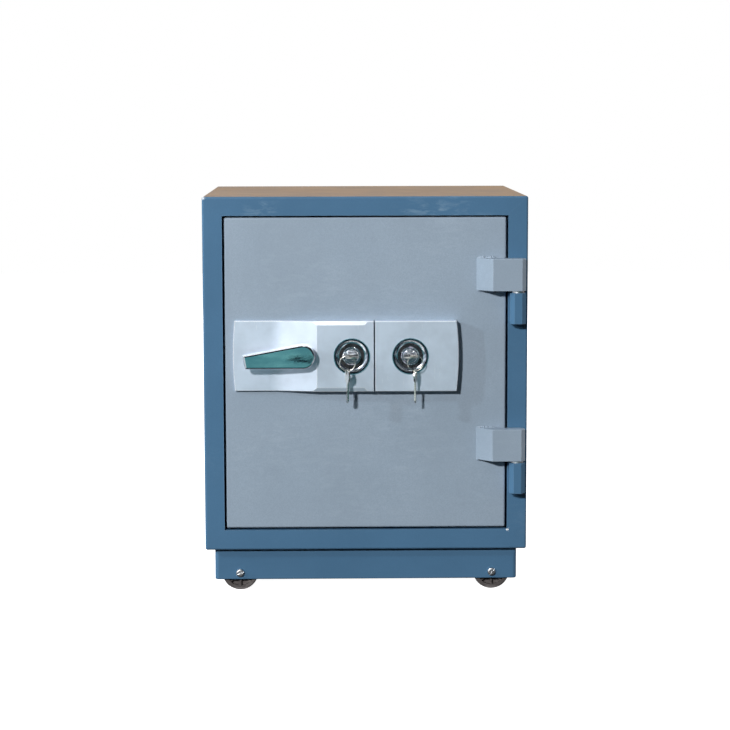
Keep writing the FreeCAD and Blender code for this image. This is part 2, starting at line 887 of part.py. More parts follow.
def cover_screw_places():
    x = cover_x + cover_flange / 2
    z0 = cover_z0 - cover_flange / 2
    z1 = cover_z1 + cover_flange / 2
    places = []
    for i in range(cover_screws_per_side):
        share = (i + 0.5) / cover_screws_per_side
        places.append((-x, z0 + share * (z1 - z0)))
        places.append((x, z0 + share * (z1 - z0)))
        places.append((-x + share * 2 * x, z0))
        places.append((-x + share * 2 * x, z1))
    return places


def guide_screw_places():
    x = -cover_x + cover_t + bolt_short + guide_w / 2
    offset = guide_h / 2 - guide_screw_edge
    return [(x, z + side * offset) for z in bolt_zs for side in (-1, 1)]


def door_back_plate():
    y0 = door_y1 - door_sheet
    holes = through_holes(y0 - past, door_y1 + past, spindle_r + bush_wall, cylinder_r)
    for x, z in cover_screw_places():
        holes.append(rod_y(cover_screw_r, y0 - past, door_y1 + past, x, z))
    for x, z in guide_screw_places():
        holes.append(rod_y(guide_screw_r, y0 - past, door_y1 + past, x, z))
    return less(slab_inside(y0, door_y1), holes)


def door_seal():
    """Expanding strip round the back of the slab, which meets the seat of the jamb."""
    left = door_left + seal_inset
    right = door_right - seal_inset
    low = door_z0 + seal_inset
    high = door_z1 - seal_inset
    strip = box(left, right, door_y1, door_y1 + seal_t, low, high)
    window = box(
        left + seal_w,
        right - seal_w,
        door_y1 - past,
        door_y1 + seal_t + past,
        low + seal_w,
        high - seal_w,
    )
    strip = less(strip, [window])
    return strip.makeFillet(seal_r, flat_edges(strip, "Y", door_y1 + seal_t))


def mechanism_cover():
    """A tray over the bolt work, with a flange all round that is screwed to the back plate."""
    tray = box(-cover_x, cover_x, door_y1, cover_y, cover_z0, cover_z1)
    tray = tray.makeFillet(cover_r, edges_along(tray, "Y") + flat_edges(tray, "Y", cover_y))
    flange = box(
        -cover_x - cover_flange,
        cover_x + cover_flange,
        door_y1,
        door_y1 + cover_t,
        cover_z0 - cover_flange,
        cover_z1 + cover_flange,
    )
    inside = box(
        -cover_x + cover_t,
        cover_x - cover_t,
        door_y1 - past,
        cover_y - cover_t,
        cover_z0 + cover_t,
        cover_z1 - cover_t,
    )
    tools = [inside]
    for z in bolt_zs:
        tools.append(rod_x(bolt_r + hole_clear, -cover_x - past, -cover_x + cover_t + past, bolt_y, z))
        tools.append(rod_x(dog_r, cover_x - cover_t - past, cover_x + past, bolt_y, z))
    for x, z in cover_screw_places():
        tools.append(rod_y(cover_screw_r, door_y1 - past, door_y1 + cover_t + past, x, z))
    return less(joined([tray, flange]), tools)


def cover_screws():
    head_y = door_y1 + cover_t
    end = door_y1 - door_sheet
    screws = []
    for x, z in cover_screw_places():
        screws.append(
            screw_y(cover_screw_r, cover_screw_head_r, cover_screw_head_t, head_y, end, x, z)
        )
    return screws


def handle_plate():
    """Hollow plate round the spindle and the first lock: thin on the left, thick on the right."""
    crease = spindle_x - plate_crease
    ridge = spindle_x + plate_ridge
    left = plate_x0 - plate_bow_left
    thin_y = door_y0 - plate_thin
    outline = [
        (left - past, door_y0),
        (left - past, thin_y),
        (crease, thin_y),
        (ridge, plate_face),
        (plate_x1, plate_face),
        (plate_x1, door_y0),
    ]
    body = prism_z(outline, plate_z0, plate_z1)
    foot = [edge for edge in flat_edges(body, "X", crease) if edge.BoundBox.ZLength > plate_h / 2]
    body = body.makeFillet(plate_crease_r, foot)
    body = body.common(bowed_outline(plate_x0, plate_x1, -plate_bow_left))
    body = less(body, bevels(crease, plate_x1 - bevel_end))
    body = softened(body, plate_x0, plate_x1, plate_face, thin_y)
    inner = [
        (plate_x0 + plate_wall, door_y0 + past),
        (plate_x0 + plate_wall, thin_y + plate_wall),
        (crease, thin_y + plate_wall),
        (ridge, plate_face + plate_wall),
        (plate_x1 - plate_wall, plate_face + plate_wall),
        (plate_x1 - plate_wall, door_y0 + past),
    ]
    hollow = prism_z(inner, plate_z0 + plate_wall, plate_z1 - plate_wall)
    hollow = less(hollow, bosses(plate_x0, plate_x1))
    neck = rod_y(lever_neck_r + hole_clear, plate_face - past, door_y0, spindle_x, spindle_z)
    dish = rod_y(dish_r, plate_face - past, door_y0, lock_xs[0], lock_z)
    return less(body, [hollow, neck, dish] + boss_holes(plate_x0, plate_x1))


def lock_plate():
    """Hollow plate round the second lock, flat and as thick as the first plate's thick part."""
    right = second_x1 + plate_bow_right
    body = box(second_x0, right + past, plate_face, door_y0, plate_z0, plate_z1)
    body = body.common(bowed_outline(second_x0, second_x1, plate_bow_right))
    body = softened(body, second_x0, second_x1, plate_face)
    hollow = box(
        second_x0 + plate_wall,
        second_x1 - plate_wall,
        plate_face + plate_wall,
        door_y0 + past,
        plate_z0 + plate_wall,
        plate_z1 - plate_wall,
    )
    hollow = less(hollow, bosses(second_x0, second_x1))
    dish = rod_y(dish_r, plate_face - past, door_y0, lock_xs[1], lock_z)
    return less(body, [hollow, dish] + boss_holes(second_x0, second_x1))


def bowed_outline(x0, x1, bow):
    """A plate's outline seen from the front; a negative bow swells the left end, a positive one the right."""
    y0 = plate_face - past
    z0, z1, middle = plate_z0, plate_z1, (plate_z0 + plate_z1) / 2
    low_left = Vector(x0, y0, z0)
    high_left = Vector(x0, y0, z1)
    low_right = Vector(x1, y0, z0)
    high_right = Vector(x1, y0, z1)
    if bow < 0:
        left = Part.Arc(high_left, Vector(x0 + bow, y0, middle), low_left).toShape()
        right = Part.makeLine(low_right, high_right)
    else:
        left = Part.makeLine(high_left, low_left)
        right = Part.Arc(low_right, Vector(x1 + bow, y0, middle), high_right).toShape()
    bottom = Part.makeLine(low_left, low_right)
    top = Part.makeLine(high_right, high_left)
    outline = Part.Face(Part.Wire([left, bottom, right, top]))
    return outline.extrude(Vector(0, door_y0 - y0 + past, 0))


def bevels(x0, x1):
    """Shallow wedges off the top and bottom edges of the thick part, ending at 45 degrees beside the rib."""
    slope = bevel_depth / bevel_h
    wedges = []
    for edge_z, way in ((plate_z1, 1), (plate_z0, -1)):
        inner_z = edge_z - way * bevel_h
        far_z = edge_z + way * past
        section = [
            (plate_face, inner_z),
            (plate_face + slope * (bevel_h + past), far_z),
            (plate_face - past, far_z),
            (plate_face - past, inner_z),
        ]
        wedge = prism_x(section, x0, x1 + past)
        end = [
            (x1 - bevel_h, inner_z),
            (x1 + past, far_z),
            (x1 + 2 * past, far_z),
            (x1 + 2 * past, inner_z),
        ]
        wedges.append(less(wedge, [prism_y(end, plate_face - 2 * past, plate_face + plate_thick)]))
    return wedges


def softened(body, x0, x1, *faces):
    """The plate with the front edges of its outline taken off by a small chamfer."""
    middle = (plate_z0 + plate_z1) / 2
    chosen = []
    for face in set(faces):
        for edge in flat_edges(body, "Y", face):
            bounds = edge.BoundBox
            on_end = abs(abs(bounds.ZMin - middle) - plate_h / 2) < touch and bounds.ZLength < touch
            at_end = bounds.XMin < x0 + touch or bounds.XMax > x1 - touch
            on_side = bounds.ZLength > plate_h / 2 and at_end
            if on_end or on_side:
                chosen.append(edge)
    return body.makeChamfer(plate_edge, chosen)


def bosses(x0, x1):
    """Posts inside a plate, for its screws."""
    posts = []
    for x, z, _ in plate_screw_places():
        if x0 < x < x1:
            posts.append(rod_y(boss_r, plate_face, door_y0 + 2 * past, x, z))
    return posts


def boss_holes(x0, x1):
    holes = []
    for x, z, proud in plate_screw_places():
        if x0 < x < x1:
            blind_y = door_y0 - proud + plate_wall + hole_clear
            holes.append(rod_y(plate_screw_r, blind_y, door_y0 + past, x, z))
    return holes


def lock_dish(x):
    """Concave bright ring round a lock, let into its plate."""
    lip_y = plate_face - dish_lip_t
    hole = cylinder_r + slide_clear
    bowl_in = dish_r - dish_bowl_r
    start = Vector(bowl_in, dish_floor, 0)
    finish = Vector(dish_r, lip_y, 0)
    half = math.sqrt(0.5) * dish_bowl_r
    middle = Vector(bowl_in + half, lip_y + half, 0)
    edges = lines([
        (dish_r, lip_y),
        (dish_r + dish_lip, lip_y),
        (dish_r + dish_lip, plate_face),
        (dish_r, plate_face),
        (dish_r, dish_floor + dish_floor_t),
        (hole, dish_floor + dish_floor_t),
        (hole, dish_floor),
        (bowl_in, dish_floor),
    ])
    edges.append(Part.Arc(start, middle, finish).toShape())
    return turned_y(edges, x, lock_z)


def cylinder_collar(x):
    y0 = dish_floor - collar_t
    outer = dish_r - dish_bowl_r
    ring = rod_y(outer, y0, dish_floor, x, lock_z)
    return less(ring, [rod_y(cylinder_r + slide_clear, y0 - past, dish_floor + past, x, lock_z)])


def lock_cylinder(x):
    """Sleeve through the door, with a flange behind the dish."""
    sleeve = rod_y(cylinder_r, cylinder_face, cylinder_end, x, lock_z)
    sleeve = sleeve.makeChamfer(plug_rim, flat_edges(sleeve, "Y", cylinder_face))
    flange_y = dish_floor + dish_floor_t
    flange = rod_y(cylinder_r + cylinder_flange, flange_y, flange_y + dish_floor_t, x, lock_z)
    bore = rod_y(plug_r + run_clear, cylinder_face - past, cylinder_end + past, x, lock_z)
    return less(joined([sleeve, flange]), [bore])


def cylinder_nut(x):
    nut = hexagon_y(2 * (cylinder_r + nut_wall), door_y1, door_y1 + nut_t, x, lock_z)
    return less(nut, [rod_y(cylinder_r, door_y1 - past, door_y1 + nut_t + past, x, lock_z)])


def spindle_bushes():
    """Flanged bushes that carry the spindle, one in the front panel and one in the back plate."""
    outer = spindle_r + bush_wall
    spans = (
        (door_y0, door_y0 + bush_length, door_y0 - door_sheet, door_y0),
        (door_y1 - bush_length, door_y1, door_y1, door_y1 + door_sheet),
    )
    bushes = []
    for y0, y1, flange_y0, flange_y1 in spans:
        tube = rod_y(outer, y0, y1, spindle_x, spindle_z)
        flange = rod_y(outer + bush_flange, flange_y0, flange_y1, spindle_x, spindle_z)
        bore = rod_y(spindle_r + run_clear, y0 - bush_length, y1 + bush_length, spindle_x, spindle_z)
        bushes.append(less(joined([tube, flange]), [bore]))
    return bushes


def bolt_guides():
    x0 = -cover_x + cover_t + bolt_short
    x1 = x0 + guide_w
    guides = []
    for z in bolt_zs:
        block = box(x0, x1, door_y1, door_y1 + guide_t, z - guide_h / 2, z + guide_h / 2)
        tools = [rod_x(bolt_r + slide_clear, x0 - past, x1 + past, bolt_y, z)]
        for side in (-1, 1):
            screw_z = z + side * (guide_h / 2 - guide_screw_edge)
            middle = (x0 + x1) / 2
            tools.append(rod_y(guide_screw_r, door_y1 - past, door_y1 + guide_t + past, middle, screw_z))
        guides.append(less(block, tools))
    return guides


def guide_screws():
    screws = []
    for x, z in guide_screw_places():
        screws.append(
            screw_y(
                guide_screw_r,
                cover_screw_head_r,
                cover_screw_head_t,
                door_y1 + guide_t,
                door_y1 - door_sheet,
                x,
                z,
            )
        )
    return screws


def guide_studs():
    """Shouldered studs on the back plate that the carriage slides along."""
    studs = []
    for x in stud_xs:
        shoulder = rod_y(stud_shoulder_r, door_y1, carriage_y0 - hole_clear, x, stud_z)
        neck = rod_y(stud_r, carriage_y0 - hole_clear, carriage_y1 + hole_clear, x, stud_z)
        head_y = carriage_y1 + hole_clear
        head = rod_y(stud_shoulder_r, head_y, head_y + stud_head_t, x, stud_z)
        studs.append(joined([shoulder, neck, head]))
    return studs


def hinge_side_dogs():
    """Fixed studs on the hinge side, which hold the shut door if the hinges are cut off."""
    dogs = []
    tip = cavity_x + dog_reach
    for z in bolt_zs:
        inner = cover_x - cover_t
        flange = rod_x(dog_flange_r, inner - dog_flange_t, inner, bolt_y, z)
        stem = rod_x(dog_r, inner, tip, bolt_y, z)
        stem = stem.makeChamfer(dog_chamfer, flat_edges(stem, "X", tip))
        dogs.append(joined([flange, stem]))
    return dogs


# ---- Bolt work, handle, locks and keys -----------------------------------------------------------


def slot_x(centre0, centre1, half, z, y0, y1):
    """A tool for a slot that runs along X between two centres."""
    middle = box(centre0, centre1, y0, y1, z - half, z + half)
    return joined([middle, rod_y(half, y0, y1, centre0, z), rod_y(half, y0, y1, centre1, z)])


def crank_slot():
    """Upright slot in the carriage for the crank's pin, which rises and falls as it swings."""
    half = crank_pin_r + slot_clear
    start = math.radians(90 - crank_swing / 2)
    x = spindle_x + crank_r * math.cos(start)
    low = spindle_z + crank_r * math.sin(start)
    high = spindle_z + crank_r
    y0 = carriage_y0 - past
    y1 = carriage_y1 + past
    middle = box(x - half, x + half, y0, y1, low, high)
    return joined([middle, rod_y(half, y0, y1, x, low), rod_y(half, y0, y1, x, high)])


def bolt_carriage():
    """A bar that holds the bolts, and an arm with a slot for the crank and two notches for each cam."""
    bar = box(
        bar_x0,
        bar_x1,
        bolt_y - carriage_bar_t / 2,
        bolt_y + carriage_bar_t / 2,
        bolt_zs[0] - carriage_bar_past,
        bolt_zs[-1] + carriage_bar_past,
    )
    arm = box(bar_x0, arm_x1, carriage_y0, carriage_y1, arm_z0, arm_z1)
    y0 = carriage_y0 - past
    y1 = carriage_y1 + past
    tools = [crank_slot()]
    for x in stud_xs:
        tools.append(slot_x(x - slot_clear, x + travel + slot_clear, stud_r + slot_clear, stud_z, y0, y1))
    for lock_x in lock_xs:
        for shift in (0, travel):
            left = lock_x + shift + notch_left
            right = lock_x + shift + notch_right
            tools.append(box(left, right, y0, y1, arm_z0 - past, lock_z + cam_r + notch_clear))
    for z in bolt_zs:
        tools.append(rod_x(bolt_screw_r, bar_x0 - past, bar_x1 + past, bolt_y, z))
    return less(joined([bar, arm]), tools)


def locking_bolt(z):
    bolt = rod_x(bolt_r, bolt_tip, bar_x0, bolt_y, z)
    bolt = bolt.makeChamfer(bolt_chamfer, flat_edges(bolt, "X", bolt_tip))
    return less(bolt, [rod_x(bolt_screw_r, bar_x0 - bolt_screw_depth, bar_x0 + past, bolt_y, z)])


def bolt_screw(z):
    shank = rod_x(bolt_screw_r, bar_x0 - bolt_screw_depth, bar_x1, bolt_y, z)
    head = rod_x(bolt_screw_head_r, bar_x1, bar_x1 + bolt_screw_head_t, bolt_y, z)
    return joined([shank, head])


def lever_outline():
    """The lever from the front: level below, tapering above, round at the hub, slanted at the tip."""
    low = Vector(spindle_x, lever_back, spindle_z - lever_hub_r)
    tip_low = Vector(spindle_x - lever_reach_low, lever_back, spindle_z - lever_hub_r)
    tip_high = Vector(spindle_x - lever_reach_high, lever_back, spindle_z + lever_tip_rise)
    far = math.hypot(lever_reach_high, lever_tip_rise)
    turn = math.atan2(lever_tip_rise, -lever_reach_high) - math.acos(lever_hub_r / far)
    high = Vector(
        spindle_x + lever_hub_r * math.cos(turn), lever_back, spindle_z + lever_hub_r * math.sin(turn)
    )
    side = Vector(spindle_x + lever_hub_r, lever_back, spindle_z)
    edges = [
        Part.makeLine(low, tip_low),
        Part.makeLine(tip_low, tip_high),
        Part.makeLine(tip_high, high),
        Part.Arc(high, side, low).toShape(),
    ]
    return Part.Face(Part.Wire(edges))


def lever_handle():
    blade = lever_outline().extrude(Vector(0, lever_front - lever_back, 0))
    blade = blade.makeFillet(lever_front_r, flat_edges(blade, "Y", lever_front))
    blade = blade.makeFillet(lever_back_r, flat_edges(blade, "Y", lever_back))
    neck_end = door_y0 - plate_thin
    neck = rod_y(lever_neck_r, lever_back - past, neck_end, spindle_x, spindle_z)
    socket = rod_y(spindle_r, spindle_y0, neck_end + past, spindle_x, spindle_z)
    return less(joined([blade, neck]), [socket])


def circlip_groove():
    """Where the groove starts and ends, and the radius of its floor."""
    y0 = door_y1 + door_sheet + axial_clear
    return y0, y0 + circlip_t, spindle_r - circlip_depth


def handle_spindle():
    y1 = crank_y0 + crank_t
    groove_y0, groove_y1, groove_r = circlip_groove()
    shaft = rod_y(spindle_r, spindle_y0, y1, spindle_x, spindle_z)
    ring = rod_y(spindle_r + past, groove_y0, groove_y1, spindle_x, spindle_z)
    ring = less(ring, [rod_y(groove_r, groove_y0 - past, groove_y1 + past, spindle_x, spindle_z)])
    return less(shaft, [ring])


def spindle_circlip():
    y0, y1, inner = circlip_groove()
    half = circlip_gap / 2
    ring = rod_y(spindle_r + circlip_proud, y0, y1, spindle_x, spindle_z)
    gap = box(spindle_x - half, spindle_x + half, y0 - past, y1 + past, spindle_z - 2 * spindle_r, spindle_z)
    return less(ring, [rod_y(inner, y0 - past, y1 + past, spindle_x, spindle_z), gap])


def crank_arm():
    start = math.radians(90 - crank_swing / 2)
    pin_x = crank_r * math.cos(start)
    pin_z = crank_r * math.sin(start)
    y0 = crank_y0
    y1 = crank_y0 + crank_t
    hub = rod_y(crank_hub_r, y0, y1, spindle_x, spindle_z)
    end = rod_y(crank_arm_w / 2, y0, y1, spindle_x + pin_x, spindle_z + pin_z)
    strip = box(0, crank_r, y0, y1, -crank_arm_w / 2, crank_arm_w / 2)
    strip.rotate(Vector(0, 0, 0), Vector(0, -1, 0), math.degrees(start))
    strip.translate(Vector(spindle_x, 0, spindle_z))
    pin = rod_y(crank_pin_r, carriage_y0 - hole_clear, y1, spindle_x + pin_x, spindle_z + pin_z)
    bore = rod_y(spindle_r, y0 - past, y1 + past, spindle_x, spindle_z)
    return less(joined([hub, end, strip, pin]), [bore])


def key_slot(x, y0, y1):
    half_t = key_t / 2 + key_clear
    half_w = key_blade_w / 2 + key_clear
    return box(x - half_w, x + half_w, y0, y1, lock_z - half_t, lock_z + half_t)


def lock_plug(x):
    """The part of a lock that turns with its key."""
    barrel = rod_y(plug_r, cylinder_face, cylinder_end, x, lock_z)
    barrel = barrel.makeChamfer(plug_rim, flat_edges(barrel, "Y", cylinder_face))
    tail = rod_y(plug_tail_r, cylinder_end, cam_y0 + cam_t, x, lock_z)
    outer = plug_r - plug_ring_inset
    face_ring = less(
        rod_y(outer, cylinder_face - past, cylinder_face + plug_ring_depth, x, lock_z),
        [rod_y(outer - plug_ring_w, cylinder_face - 2 * past, cylinder_face + past, x, lock_z)],
    )
    depth = cylinder_face + key_blade_l + key_clear
    return less(joined([barrel, tail]), [face_ring, key_slot(x, cylinder_face - past, depth)])


def lock_cam(x):
    """The tongue behind a lock, level when the lock is open and upright in the carriage when it is shut."""
    hub = rod_y(cam_hub_r, cam_y0, cam_y0 + cam_t, x, lock_z)
    tongue = box(x, x + cam_r, cam_y0, cam_y0 + cam_t, lock_z - cam_w / 2, lock_z + cam_w / 2)
    return less(joined([hub, tongue]), [rod_y(plug_tail_r, cam_y0 - past, cam_y0 + cam_t + past, x, lock_z)])


def key_bit(y, depth, edge_z, half):
    """A notch in the upper edge of a key's blade."""
    reach = depth + key_bit_flare
    top = edge_z + touch
    return prism_x([(y - reach, top), (y, edge_z - depth), (y + reach, top)], -half - past, half + past)


def key_blank():
    """A key in the YZ plane: its bow round the origin, its blade along +Y, its ring hole on the -Y side."""
    half = key_t / 2
    half_w = key_blade_w / 2
    shoulder = key_bow_r + key_shoulder
    blade_end = shoulder + key_blade_l
    outline = [
        (0, -half_w),
        (blade_end - half_w, -half_w),
        (blade_end, 0),
        (blade_end - key_tip, half_w),
        (0, half_w),
    ]
    blade = prism_x(outline, -half, half)
    bow = rod_x(key_bow_r, -half, half, 0, 0)
    hole = rod_x(key_hole_r, -half - past, half + past, key_hole_edge - key_bow_r, 0)
    groove_z0 = -key_groove_off - key_groove_w / 2
    groove_z1 = -key_groove_off + key_groove_w / 2
    groove = box(half - key_groove_t, half + past, shoulder, blade_end + past, groove_z0, groove_z1)
    tools = [hole, groove]
    pitch = (key_blade_l - 2 * key_bits_inset) / (key_bits - 1)
    for i in range(key_bits):
        y = shoulder + key_bits_inset + i * pitch
        depth = key_bit_least + key_bit_step * ((2 * i + 1) % 3)
        tools.append(key_bit(y, depth, half_w, half))
    return less(joined([bow, blade]), tools)


def lock_key(x):
    """A key in its lock, lying flat, so that its ring hangs from one side of the bow."""
    key = key_blank()
    key.rotate(Vector(0, 0, 0), Vector(0, 1, 0), 90)
    key.translate(Vector(x, bow_y, lock_z))
    return key


def key_ring(x, side):
    return Part.makeTorus(ring_r, ring_wire_r, Vector(x + side * ring_off, ring_y, ring_z), Vector(0, 1, 0))


def spare_key(x, side, twist):
    """A second key that hangs from the ring, blade down."""
    key = key_blank()
    key.translate(Vector(0, key_bow_r - key_hole_edge, 0))
    key.rotate(Vector(0, 0, 0), Vector(1, 0, 0), -90)
    key.rotate(Vector(0, 0, 0), Vector(0, 0, 1), twist)
    key.translate(Vector(x + side * ring_off, ring_y, spare_hole_z))
    return key


# ---- Export --------------------------------------------------------------------------------------

os.makedirs("parts", exist_ok=True)

export("outer_casing", outer_casing())
export("rear_panel", rear_panel())
export("jamb_frame", jamb_frame())
export("inner_liner", inner_liner())
export("strike_cups", *[strike_cup(z) for z in bolt_zs])
export("dog_boxes", *[dog_box(z) for z in bolt_zs])
export("fire_fill", fire_fill())
export("shelf", shelf())
export("shelf_pegs", *shelf_pegs())

export("plinth", plinth())
for rail_name, (rail_face, rail_inward) in zip(("front", "rear"), axle_ends()):
    export(rail_name + "_wheel_rail", wheel_rail(rail_face, rail_inward))
axles = [(face, inward, x) for face, inward in axle_ends() for x in (-wheel_x, wheel_x)]
axle_names = ("front_left", "front_right", "rear_left", "rear_right")
far_spacer = plinth_t + wheel_span - spacer_t
export("axle_bolts", *[axle_bolt(*axle, turn) for axle, turn in zip(axles, axle_slot_turns)])
export("axle_nuts", *[axle_nut(*axle) for axle in axles])
export(
    "axle_spacers",
    *[axle_spacer(face, inward, near, x) for face, inward, x in axles for near in (plinth_t, far_spacer)],
)
for axle_name, axle in zip(axle_names, axles):
    export("wheel_" + axle_name, wheel(*axle))

export("frame_hinges", *[frame_knuckle(top) for top in knuckle_tops])
export("hinge_pins", *[hinge_pin(top) for top in knuckle_tops])
export("hinge_washers", *[hinge_washer(top) for top in knuckle_tops])
export("door_hinge_upper", door_block(knuckle_tops[0]))
export("door_hinge_lower", door_block(knuckle_tops[1]))

export("door_front_panel", door_front_panel())
export("door_fill", door_fill())
export("door_back_plate", door_back_plate())
export("door_seal", door_seal())
export("mechanism_cover", mechanism_cover())
export("cover_screws", *cover_screws())
export("handle_plate", handle_plate())
export("lock_plate", lock_plate())
export("plate_screws", *plate_screws())
export("lock_dishes", *[lock_dish(x) for x in lock_xs])
export("cylinder_collars", *[cylinder_collar(x) for x in lock_xs])
export("lock_cylinders", *[lock_cylinder(x) for x in lock_xs])
export("cylinder_nuts", *[cylinder_nut(x) for x in lock_xs])
export("spindle_bushes", *spindle_bushes())
export("bolt_guides", *bolt_guides())
export("guide_screws", *guide_screws())
export("guide_studs", *guide_studs())
export("hinge_side_dogs", *hinge_side_dogs())

export("bolt_carriage", bolt_carriage())
export("locking_bolts", *[locking_bolt(z) for z in bolt_zs])
export("bolt_screws", *[bolt_screw(z) for z in bolt_zs])
export("lever_handle", lever_handle())
export("handle_spindle", handle_spindle())
export("spindle_circlip", spindle_circlip())
export("crank_arm", crank_arm())

locks = (("left", lock_xs[0], -1, spare_twist_left), ("right", lock_xs[1], 1, spare_twist_right))
for lock_name, lock_x, side, twist in locks:
    export("plug_" + lock_name, lock_plug(lock_x))
    export("cam_" + lock_name, lock_cam(lock_x))
    export("key_" + lock_name, lock_key(lock_x))
    export("key_ring_" + lock_name, key_ring(lock_x, side))
    export("spare_key_" + lock_name, spare_key(lock_x, side, twist))
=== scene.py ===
import json
import math

import bmesh
import bpy
from mathutils import Matrix, Vector, noise


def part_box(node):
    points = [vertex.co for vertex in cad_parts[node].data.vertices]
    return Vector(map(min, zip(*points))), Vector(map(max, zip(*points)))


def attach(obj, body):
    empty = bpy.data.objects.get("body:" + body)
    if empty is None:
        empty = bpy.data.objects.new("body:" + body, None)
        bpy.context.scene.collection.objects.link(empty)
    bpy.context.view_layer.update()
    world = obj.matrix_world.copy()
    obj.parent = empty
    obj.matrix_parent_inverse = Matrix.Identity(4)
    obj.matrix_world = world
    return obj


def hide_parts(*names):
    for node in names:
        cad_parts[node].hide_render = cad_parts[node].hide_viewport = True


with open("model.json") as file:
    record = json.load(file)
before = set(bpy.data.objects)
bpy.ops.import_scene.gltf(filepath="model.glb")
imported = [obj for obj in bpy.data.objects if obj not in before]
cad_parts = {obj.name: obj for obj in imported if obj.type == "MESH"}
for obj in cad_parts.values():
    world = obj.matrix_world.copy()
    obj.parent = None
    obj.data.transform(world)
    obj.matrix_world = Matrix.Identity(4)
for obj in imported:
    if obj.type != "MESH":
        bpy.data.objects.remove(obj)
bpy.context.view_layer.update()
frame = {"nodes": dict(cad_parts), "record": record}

# The looks of a small fire-resisting safe on wheels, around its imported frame. Metres, +Z up, front at -Y.
# Colours are linear. Textures work from object coordinates, which are the frame's own for all pieces, so a
# noise scale is about the number of marks per metre.

MM = 0.001
CAD_NODES = frame["nodes"]
casing_low, casing_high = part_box("outer_casing")
jamb_low, jamb_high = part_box("jamb_frame")
panel_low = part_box("door_front_panel")[0]


# ---- Materials ---------------------------------------------------------------------------------------

class Look:
    """A material's node tree, with one short call for each kind of node that this scene uses."""

    def __init__(self, name):
        self.material = bpy.data.materials.new(name)
        self.material.use_nodes = True
        self.tree = self.material.node_tree
        self.shader = self.tree.nodes["Principled BSDF"]
        self.place = self.add("ShaderNodeTexCoord").outputs["Object"]

    def feed(self, socket, value):
        if isinstance(value, bpy.types.NodeSocket):
            self.tree.links.new(value, socket)
        elif hasattr(value, "__len__") and len(value) == 3 and len(socket.default_value) == 4:
            socket.default_value = (*value, 1.0)
        else:
            socket.default_value = value

    def add(self, kind, settings=None, **inputs):
        node = self.tree.nodes.new(kind)
        for name, value in (settings or {}).items():
            setattr(node, name, value)
        for name, value in inputs.items():
            self.feed(node.inputs[name.replace("_", " ")], value)
        return node

    def stretched(self, stretch=(1, 1, 1), turn=(0, 0, 0), shift=(0, 0, 0)):
        return self.add("ShaderNodeMapping", Vector=self.place, Scale=stretch, Rotation=turn,
                        Location=shift).outputs["Vector"]

    def noise(self, scale, detail=3.0, rough=0.5, warp=0.0, **mapping):
        vector = self.stretched(**mapping) if mapping else self.place
        return self.add("ShaderNodeTexNoise", Vector=vector, Scale=scale, Detail=detail, Roughness=rough,
                        Distortion=warp).outputs["Fac"]

    def cells(self, scale):
        return self.add("ShaderNodeTexVoronoi", Vector=self.place, Scale=scale).outputs["Distance"]

    def axes(self):
        return self.add("ShaderNodeSeparateXYZ", Vector=self.place).outputs

    def distance(self, vector, point):
        node = self.add("ShaderNodeVectorMath", {"operation": "DISTANCE"})
        self.feed(node.inputs[0], vector)
        self.feed(node.inputs[1], Vector(point))
        return node.outputs["Value"]

    def level(self, value, low, high, to_low=0.0, to_high=1.0):
        """Takes low...high smoothly to to_low...to_high, and holds the ends."""
        node = self.add("ShaderNodeMapRange", {"interpolation_type": "SMOOTHSTEP"}, Value=value)
        for name, number in (("From Min", low), ("From Max", high), ("To Min", to_low), ("To Max", to_high)):
            node.inputs[name].default_value = number
        return node.outputs["Result"]

    def math(self, operation, a, b=0.0):
        node = self.tree.nodes.new("ShaderNodeMath")
        node.operation = operation
        self.feed(node.inputs[0], a)
        self.feed(node.inputs[1], b)
        return node.outputs[0]

    def mix(self, share, a, b, blend="MIX"):
        node = self.tree.nodes.new("ShaderNodeMix")
        node.data_type = "RGBA"
        node.blend_type = blend
        for index, value in ((0, share), (6, a), (7, b)):
            self.feed(node.inputs[index], value)
        return node.outputs[2]

    def edge(self, radius, low=0.02, high=0.25):
        """1 along outer and inner edges sharper than radius, 0 on open faces."""
        rounded = self.add("ShaderNodeBevel", {"samples": 4}, Radius=radius).outputs["Normal"]
        true = self.add("ShaderNodeNewGeometry").outputs["Normal"]
        node = self.tree.nodes.new("ShaderNodeVectorMath")
        node.operation = "DOT_PRODUCT"
        self.feed(node.inputs[0], rounded)
        self.feed(node.inputs[1], true)
        return self.level(self.math("SUBTRACT", 1.0, node.outputs["Value"]), low, high)

    def bump(self, height, depth, strength=1.0, below=None):
        node = self.add("ShaderNodeBump", Height=height, Distance=depth, Strength=strength)
        if below is not None:
            self.feed(node.inputs["Normal"], below)
        return node.outputs["Normal"]

    def done(self, color, roughness, normal=None, **fixed):
        self.feed(self.shader.inputs["Base Color"], color)
        self.feed(self.shader.inputs["Roughness"], roughness)
        if normal is not None:
            self.feed(self.shader.inputs["Normal"], normal)
        for name, value in fixed.items():
            self.feed(self.shader.inputs[name.replace("_", " ")], value)
        return self.material


def shade(color, factor):
    """The colour made lighter or darker, up to white."""
    return tuple(min(1.0, channel * factor) for channel in color)


